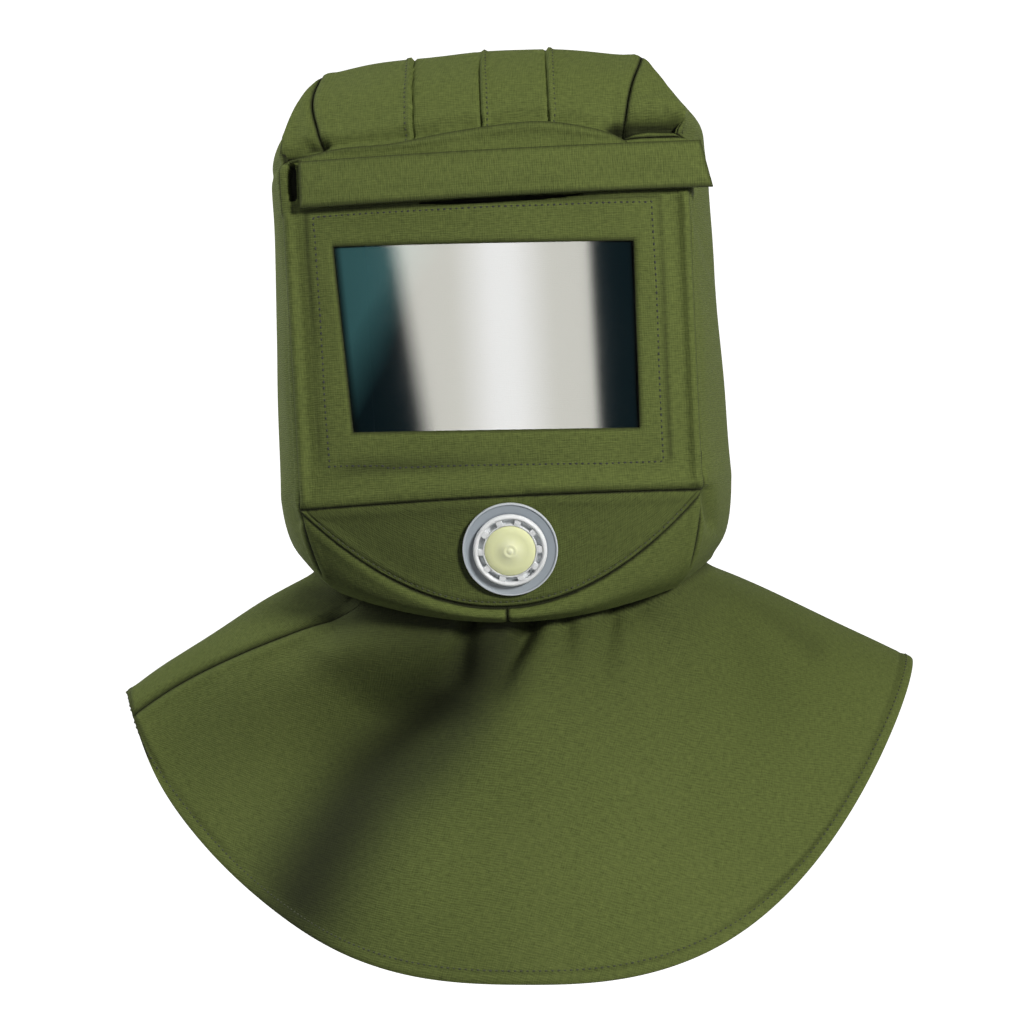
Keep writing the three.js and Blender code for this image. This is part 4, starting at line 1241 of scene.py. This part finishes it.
def hem_point(angle):
    """Points of the hem, by their turn from the right."""
    c, s = np.cos(angle), np.sin(angle)
    front = s < 0
    x = HEM["half"] * c
    fall = np.where(front, HEM["drop_front"], HEM["drop_back"]) * (1 - np.abs(c) ** HEM["curve"])
    return np.stack([x, np.where(front, HEM["front"], HEM["back"]) * s,
                     HEM["z_tip"] - fall - HEM["lean"] * x * np.abs(s)], -1)


def neck_angle(neck):
    """The turn round the neck of points on it."""
    row = named(ROWS[NECK])
    deep = np.where(neck[..., 1] < 0, row["bow"] - row["y_edge"], row["y_back"])
    return np.arctan2(neck[..., 1] / deep, neck[..., 0] / row["half"])


def cape_grid(neck, along):
    """The cape below rows of points on the neck, one row for each place from the neck to the hem."""
    start, along = neck_angle(neck), along[:, None]
    angle = start + HEM["twist"] * along
    across, s = np.cos(angle), np.sin(angle)
    grid = lerp(neck, hem_point(start + HEM["twist"]), along[..., None])
    crest = np.where(across < 0, CREST["left"], CREST["right"])
    grid[..., 2] += crest * np.abs(across) ** 3 * 4 * along * (1 - along) - GAP
    out = unit(np.stack([across * -0.08, s, np.full_like(s, 0.12)], -1))
    depth = fold_depth(across, along) * smooth(-s / 0.5)
    return grid - out * depth[..., None]


def cape_flat(neck, along, turn):
    """The cape opened out flat, as a cut from a cone."""
    reach = lerp(*CONE_REACH, along[:, None])
    spread = CONE * (np.unwrap(neck_angle(neck), axis=1) - turn)
    return np.stack([reach * np.sin(spread), -reach * np.cos(spread)], -1)


def gathers(points, normals):
    """How far the gathers draw the cape in, deepest at the neck."""
    total = np.zeros(len(points))
    for path, depth, half in GATHERS.values():
        distance, share = path_near(points, path)
        total -= depth * bell(distance, half * (1 + share)) * (1 - share) ** 0.8
    return total * smooth(-normals[:, 1] / 0.4)


def neck_runs(along):
    """Points round the neck for the cape's front and back, split at the shoulder seams. The left seam
    starts further forward at the neck than at the hem."""
    turn = np.linspace(0, math.pi, 240)
    left_side = side_point(NECK, -1, np.linspace(1, 0, 60))
    ring = np.concatenate([left_side, front_point(NECK, np.linspace(-1, 1, 120))[1:],
                           side_point(NECK, 1, np.linspace(0, 1, 60))[1:], rear_point(NECK, turn)[1:]])
    lengths = path_lengths(ring)
    left = lengths[len(left_side) - 1] * (1 - lerp(SHOULDER[1], SHOULDER[0], (1 - along) ** 2))[:, None]
    right = np.interp(REAR_SEAM / 2, turn, lengths[-len(turn):])
    front = lerp(left, right, np.linspace(0, 1, 200))
    back = lerp(right, lengths[-1] + left, np.linspace(0, 1, 190))
    return {name: np.stack([np.interp(at % lengths[-1], lengths, ring[:, k]) for k in range(3)], -1)
            for name, at in (("cape_front", front), ("cape_back", back))}


def turn_tip(sheet, hem_line):
    """Below the left shoulder the hem is turned in and lifted at the seam, and swings out behind it."""
    near, x = nearest_distance(sheet.points, hem_line), sheet.points[:, 0]
    behind = sheet.points[:, 1] - hem_line[0][1]
    at_end = np.linalg.norm(sheet.points - hem_line[0], axis=1)
    swung = smooth(behind / 60) * (1 - smooth((behind - 90) / 90)) * bell(near, 60) * smooth((-140 - x) / 60)
    sheet.points[:, 0] += 5 * bell(at_end, 38) - 4 * swung
    sheet.points[:, 2] += 3 * bell(at_end, 42)


def tuck_in(sheet, top, front, middle):
    """The neck edge stands up a little way inside the hood's lower edge."""
    inward = unit(middle[:2] - sheet.points[:, :2])
    sheet.points[:, :2] += inward * (3.5 * bell(top, 6) * (1 - front))[:, None]
    sheet.points[:, 2] += lerp(4, 5.5, front) * bell(top, 4)


def cape_shade(sheet, top, front, drawn):
    """Painted shade below the neck where the hood shades the cape, along the folds and in the gathers."""
    x = sheet.points[:, 0]
    shaded = 0.5 * np.exp(-top / 75) * lerp(0.2, 1, smooth((x + 70) / 80))
    shaded = np.maximum(shaded, 0.8 * bell(top, 32) * (1 - smooth((x + 40) / 60)))
    for path, share, half in FOLD_SHADE.values():
        shaded = np.maximum(shaded, share * bell(path_near(sheet.points, path)[0], half))
    return np.maximum(shaded * front, 0.8 * np.clip(-drawn / 16, 0, 1))


class HOOD_OT_cape(Operator):
    """Build the front and back of the shoulder cape, with their turned hems"""
    bl_idname = "dust_hood.cape"
    bl_label = "Shoulder cape"

    def execute(self, context):
        settings = context.scene.dust_hood
        cloth, canvas = settings.cloth, look("olive_canvas", canvas_look, settings.canvas)
        along, at_hem, row = stops(CAPE_LENGTH, 2.8), np.array([1.0]), settings.thread.inset / MM
        form, runs = Form(), neck_runs(along)
        for (panel, run), turn in zip(runs.items(), (-math.pi / 2, math.pi / 2)):
            form.add(panel, cape_grid(run, along)[::-1], cape_flat(run, along, turn)[::-1])
        form.weld()
        pieces, hems = {}, {}
        necks = np.concatenate([run[0] for run in runs.values()]) - (0, 0, GAP)
        hem_line = np.concatenate([cape_grid(end, at_hem)[0] for end in neck_runs(at_hem).values()])
        inset = np.array([1 - row / HEM_LENGTH])
        for panel, line in neck_runs(inset).items():
            sheet = Sheet(form, panel)
            turn_tip(sheet, hem_line)
            rim = sheet.edge_distance()
            top, hem = (nearest_distance(sheet.points, marks) for marks in (necks, hem_line))
            side = np.where((top > 4) & (hem > 4), rim, 99)
            front = smooth(-sheet.normals[:, 1] / 0.6)
            tuck_in(sheet, top, front, necks.mean(axis=0))
            drawn = gathers(sheet.points, sheet.normals)
            height = -5.0 * bell(top, 9) * front + seam_relief(side, cloth) * smooth(top / 20)
            height += drawn
            height += 1.1 * slack(sheet.points, 120, cloth.seed + 3) * smooth(top / 60)
            height += -0.7 * bell(hem - row, 1.1) - 0.9 * bell(hem, 1.3)
            thick = lerp(cloth.hem_thickness, cloth.thickness, smooth((hem - 11) / 3)) / MM
            # Painted shade at the shoulder seams, along the hem's stitched line and at the neck edge, and the
            # cape's painted shade below the neck and in its folds.
            seam = np.maximum(0.8 * bell(side, 1.3), 0.5 * bell(hem - row, 1.2))
            seam = np.maximum(np.maximum(seam, bell(top, 5)), cape_shade(sheet, top, front, drawn))
            pieces[panel] = sheet.wall(panel + "_cloth", height, thick, canvas, seam)
            hems[panel] = sew(panel + "_stitches", [cape_grid(line, inset)[0][2:-2]], sheet, settings)
        for panel, piece in pieces.items():
            declare_sheet(piece, panel, [hems[panel]])
        return {"FINISHED"}


# The exhale valve

def valve_matrix():
    """Where the valve sits, square to the chin panel."""
    across = VALVE_PLACE["x"] / named(ROWS[CHIN_SEAM])["x_seam"]
    low, high = front_point(CHIN_HEM, across), front_point(CHIN_SEAM, across)
    point = lerp(low, high, (VALVE_PLACE["z"] - low[2]) / (high[2] - low[2]))
    tilt = math.atan2(low[1] - high[1], high[2] - low[2])
    return Matrix.Translation(Vector(point * MM)) @ Matrix.Rotation(math.pi / 2 + tilt, 4, "X")


def turn_round(profile, ring=True, sides=96):
    """Points, faces and flat coordinates of a profile of radius and height turned round the valve's axis."""
    profile = np.asarray(profile, float)
    angle = np.linspace(0, 2 * math.pi, sides, endpoint=False)
    radius, height = profile[:, :1], profile[:, 1:]
    points = np.stack([radius * np.cos(angle), radius * np.sin(angle), height + 0 * angle], -1).reshape(-1, 3)
    at = np.arange(len(points)).reshape(-1, sides)
    at = np.hstack([at, at[:, :1]])
    faces = corners(closed(at) if ring else at).reshape(-1, 4)
    x, y, _ = np.moveaxis(points[faces], -1, 0)
    flats = np.stack([np.hypot(x, y), np.arctan2(y, x)], -1)
    if not ring:
        points, place = welded(points)
        faces = place[faces]
    return points, faces, flats


def turned(name, profile, material, ring=True):
    points, faces, flats = turn_round(profile, ring)
    return new_piece(name, points, faces, material, flats, None, TURNED_SHARP)


def rounded(corners_list, radius=0.5, steps=4):
    """A closed profile with its corners rounded off."""
    profile = np.asarray(corners_list, float)
    found = []
    for before, corner, after in zip(np.roll(profile, 1, axis=0), profile, np.roll(profile, -1, axis=0)):
        one, two = before - corner, after - corner
        cut = min(radius, np.linalg.norm(one) * 0.45, np.linalg.norm(two) * 0.45)
        start, end = corner + one / np.linalg.norm(one) * cut, corner + two / np.linalg.norm(two) * cut
        for share in np.linspace(0, 1, steps):
            found.append(lerp(lerp(start, corner, share), lerp(corner, end, share), share))
    return np.array(found)


class HOOD_OT_valve(Operator):
    """Build the exhale valve: flange, slotted rim, rubber disc and back nut"""
    bl_idname = "dust_hood.valve"
    bl_label = "Exhale valve"

    def execute(self, context):
        valve = context.scene.dust_hood.valve
        place = valve_matrix()
        flange, disc, clear = valve.flange / MM, valve.membrane / MM, TUBE + GAP
        # The second colour of each plastic is its painted highlight at the edge.
        grey = look("grey_plastic", plastic_look, "grey_plastic", tuple(valve.grey), (0.75, 0.79, 0.84),
                    0.32, valve.flange, 0.0012, True)
        white = look("white_plastic", plastic_look, "white_plastic", tuple(valve.white), (0.86, 0.89, 0.91),
                     0.34, valve.cage, 0.003, False)
        rubber = look("pale_rubber", rubber_look, valve)
        plate = rounded([(clear, 0.35), (flange, 0.35), (flange, 3), (flange - 1, 3), (flange - 1.5, 2.3),
                         (clear, 2.1)], 0.4)
        dome = [(0, 4.6), (disc - 0.4, 4.6), (disc, 4.9), (disc, 5.4), (disc - 0.5, 5.75), (disc * 0.7, 6.1),
                (4.6, 6.35), (4, 6.75), (3.2, 6.9), (2.5, 6.75), (1.9, 6.7), (1.4, 7), (0.8, 7.2), (0, 7.25)]
        nut = rounded([(clear, -6.4), (25.5, -6.4), (25.5, -2.6), (clear, -2.6)], 0.6)
        made = [(turned("flange", plate, grey), "valve_grey", "valve_flange"),
                (self.cage(valve, white), "valve_white", "valve_cage"),
                (turned("rubber_disc", dome, rubber, False), "membrane", "valve_membrane"),
                (turned("back_nut", nut, white), "valve_white", "valve_nut")]
        for piece, slot, node in made:
            piece.data.transform(place)
            settle(piece, slot, node)
        return {"FINISHED"}

    def cage(self, valve, white):
        """A rounded rim and a hub, with ribs from one to the other between the slots."""
        cage, inner, outer = valve.cage / MM, valve.slot_inner / MM, valve.slot_outer / MM
        clear = valve.membrane / MM + GAP
        rim = rounded([(outer, 3.4), (BORE, 3.4), (BORE, -9), (TUBE, -9), (TUBE, 3.35), (cage, 3.35),
                       (cage, 5.2), (cage - 0.9, 6.3), (outer + 0.9, 6.4), (outer, 5.6)], 0.7)
        hub = rounded([(0.6, 0.4), (BORE, 0.4), (BORE, 1.4), (inner, 1.4), (inner, 5.7), (clear, 5.7),
                       (clear, 4.3), (0.6, 4.3)], 0.25)
        points, faces, flats = zip(turn_round(rim), turn_round(hub))
        faces = (faces[0], faces[1] + len(points[0]))
        rings = new_piece("cage_rings", *(np.concatenate(both) for both in (points, faces)), white,
                          np.concatenate(flats))
        mesh = rings.data
        bpy.data.objects.remove(rings)
        middle = (inner + outer) / 2
        values = {"Count": valve.slots, "Radius": middle * MM, "Length": (outer - inner + 0.8) * MM,
                  "Width": 2 * math.pi * middle * valve.rib_share / valve.slots * MM, "Height": 4.2 * MM,
                  "Middle": 3.4 * MM, "Turn": math.pi / 2 + math.pi / valve.slots}
        return rib_tree().run("slotted_rim", mesh, values, white)


# Stage

# The point that the camera looks at, and the one that the lights point to.
HOOD_MIDDLE = Vector((0.002, 0.0, -0.275))
LIT_MIDDLE = Vector((0, 0, -0.3))
SENSOR = 36
# Lights: place and size in metres, and colour.
LIGHTS = {"key": ((1.6, -2.15, 0.6), 0.6, (1, 0.98, 0.95)), "fill": ((-1.8, 0.1, 0.9), 1.2, (1, 1, 1)),
          "top": ((-1.2, -0.2, 1.5), 1.5, (1, 1, 1))}
# The floor: how far it comes forward, where and how widely it bends up, the backdrop's top, half its width,
# and how far it lies below the part's origin.
FLOOR = {"front": -4000, "bend": 2500, "radius": 1200, "top": 5000, "half": 6000, "down": 850}
# The card behind the camera: half its width, half its height, and its y.
CARD = {"half": 1700, "rise": 700, "back": -2700}


def area_light(name, place, size, power, colour):
    """A round light that points to the hood."""
    light = bpy.data.lights.new(name, "AREA")
    light.shape, light.size, light.energy, light.color = "DISK", size, power, colour
    lamp = bpy.data.objects.new(name, light)
    lamp.location = place
    lamp.rotation_euler = (LIT_MIDDLE - Vector(place)).to_track_quat("-Z", "Y").to_euler()
    bpy.context.collection.objects.link(lamp)


class HOOD_OT_stage(Operator):
    """Set up the floor, the light and the camera"""
    bl_idname = "dust_hood.stage"
    bl_label = "Stage"

    def execute(self, context):
        stage = context.scene.dust_hood.stage
        self.floor(stage)
        self.light(context.scene, stage)
        self.card(stage)
        self.camera(context.scene, stage)
        context.scene.view_settings.view_transform = "Standard"
        return {"FINISHED"}

    def floor(self, stage):
        """A floor that sweeps up into a backdrop."""
        material, shade = new_look("pale_floor")
        tone = (shade.place().noise(2.0) * 0.2).mix(stage.floor, tuple(0.97 * c for c in stage.floor))
        paint(material, {"Base Color": tone, "Roughness": 0.9, "Emission Color": (1, 1, 1, 1),
                         "Emission Strength": 0.85})
        turn, radius = np.linspace(0, math.pi / 2, 14), FLOOR["radius"]
        bend = zip(FLOOR["bend"] + radius * np.sin(turn), radius - radius * np.cos(turn))
        profile = np.array([(FLOOR["front"], 0), *bend, (FLOOR["bend"] + radius, FLOOR["top"])])
        x, at = np.meshgrid(np.linspace(-FLOOR["half"], FLOOR["half"], 5), np.arange(len(profile)))
        points = np.stack([x, profile[at, 0], profile[at, 1] - FLOOR["down"]], -1).reshape(-1, 3)
        grid = np.arange(len(points)).reshape(x.shape)
        sweep = new_piece("floor", points, corners(grid).reshape(-1, 4), material)
        sweep.visible_diffuse = False

    def light(self, scene, stage):
        world = bpy.data.worlds.new("sky")
        scene.world = world
        world.use_nodes = True
        world.node_tree.nodes["Background"].inputs["Color"].default_value = (0.96, 0.98, 1, 1)
        world.node_tree.nodes["Background"].inputs["Strength"].default_value = stage.sky
        for name, (place, size, colour) in LIGHTS.items():
            area_light(name, place, size, getattr(stage, name), colour)

    def card(self, stage):
        """A white card behind the camera that only shows as a reflection in the pane."""
        material, shade = new_look("card")
        place = shade.place()
        across, up = place.axis("X"), place.axis("Z")
        broad = ((across + 0.72 + (up + 0.04) * 0.6) / 0.14).clamp() * ((0.63 - across) / 0.06).clamp()
        streak = (1.3 - abs(across + 0.015) / 0.26).clamp()
        warm = (broad * 0.64).mix((0, 0, 0), (1, 0.985, 0.89))
        shown = (streak * 0.7).mix(warm, (1, 1, 1))
        paint(material, {"Emission Color": shown, "Emission Strength": stage.card, "Base Color": (0, 0, 0, 1),
                         "Specular IOR Level": 0})
        wide, high = CARD["half"], CARD["rise"]
        outline = ((-wide, -high), (wide, -high), (wide, high), (-wide, high))
        points = np.array([(x, CARD["back"], z) for x, z in outline], float)
        card = new_piece("card", points, np.array([[3, 2, 1, 0]]), material)
        card.visible_camera = card.visible_diffuse = card.visible_shadow = False

    def camera(self, scene, stage):
        data = bpy.data.cameras.new("camera")
        data.sensor_width = SENSOR
        data.lens = SENSOR * stage.distance / stage.width
        data.clip_end = 50
        back = Vector((math.sin(stage.azimuth), -math.cos(stage.azimuth), 0))
        camera = bpy.data.objects.new("camera", data)
        camera.location = HOOD_MIDDLE + back * stage.distance
        upright = (-back).to_track_quat("-Z", "Y").to_matrix()
        camera.rotation_euler = (upright @ Matrix.Rotation(-stage.roll, 3, "Z")).to_euler()
        bpy.context.collection.objects.link(camera)
        scene.camera = camera


class HOOD_PT_panel(Panel):
    """Buttons and settings of the dust hood"""
    bl_idname = "HOOD_PT_panel"
    bl_label = "Dust hood"
    bl_space_type = "VIEW_3D"
    bl_region_type = "UI"
    bl_category = "Dust hood"

    def draw(self, context):
        for operator in OPERATORS:
            self.layout.operator(operator.bl_idname)
        for name, group in SETTINGS.items():
            box = self.layout.box()
            box.label(text=group.__doc__)
            for key in group.__annotations__:
                box.prop(getattr(context.scene.dust_hood, name), key)


OPERATORS = (HOOD_OT_panels, HOOD_OT_window, HOOD_OT_cape, HOOD_OT_valve, HOOD_OT_stage)
SETTINGS = {"cloth": ClothSettings, "thread": ThreadSettings, "canvas": CanvasSettings,
            "pane": PaneSettings, "valve": ValveSettings, "stage": StageSettings}
CLASSES = (*SETTINGS.values(), DustHoodSettings, *OPERATORS, HOOD_PT_panel)


def register():
    for cls in CLASSES:
        bpy.utils.register_class(cls)
    bpy.types.Scene.dust_hood = PointerProperty(type=DustHoodSettings)


def unregister():
    del bpy.types.Scene.dust_hood
    for cls in reversed(CLASSES):
        bpy.utils.unregister_class(cls)


def main():
    register()
    bpy.ops.dust_hood.stage()
    bpy.ops.dust_hood.panels()
    bpy.ops.dust_hood.window()
    bpy.ops.dust_hood.cape()
    bpy.ops.dust_hood.valve()


if __name__ == "__main__":
    main()
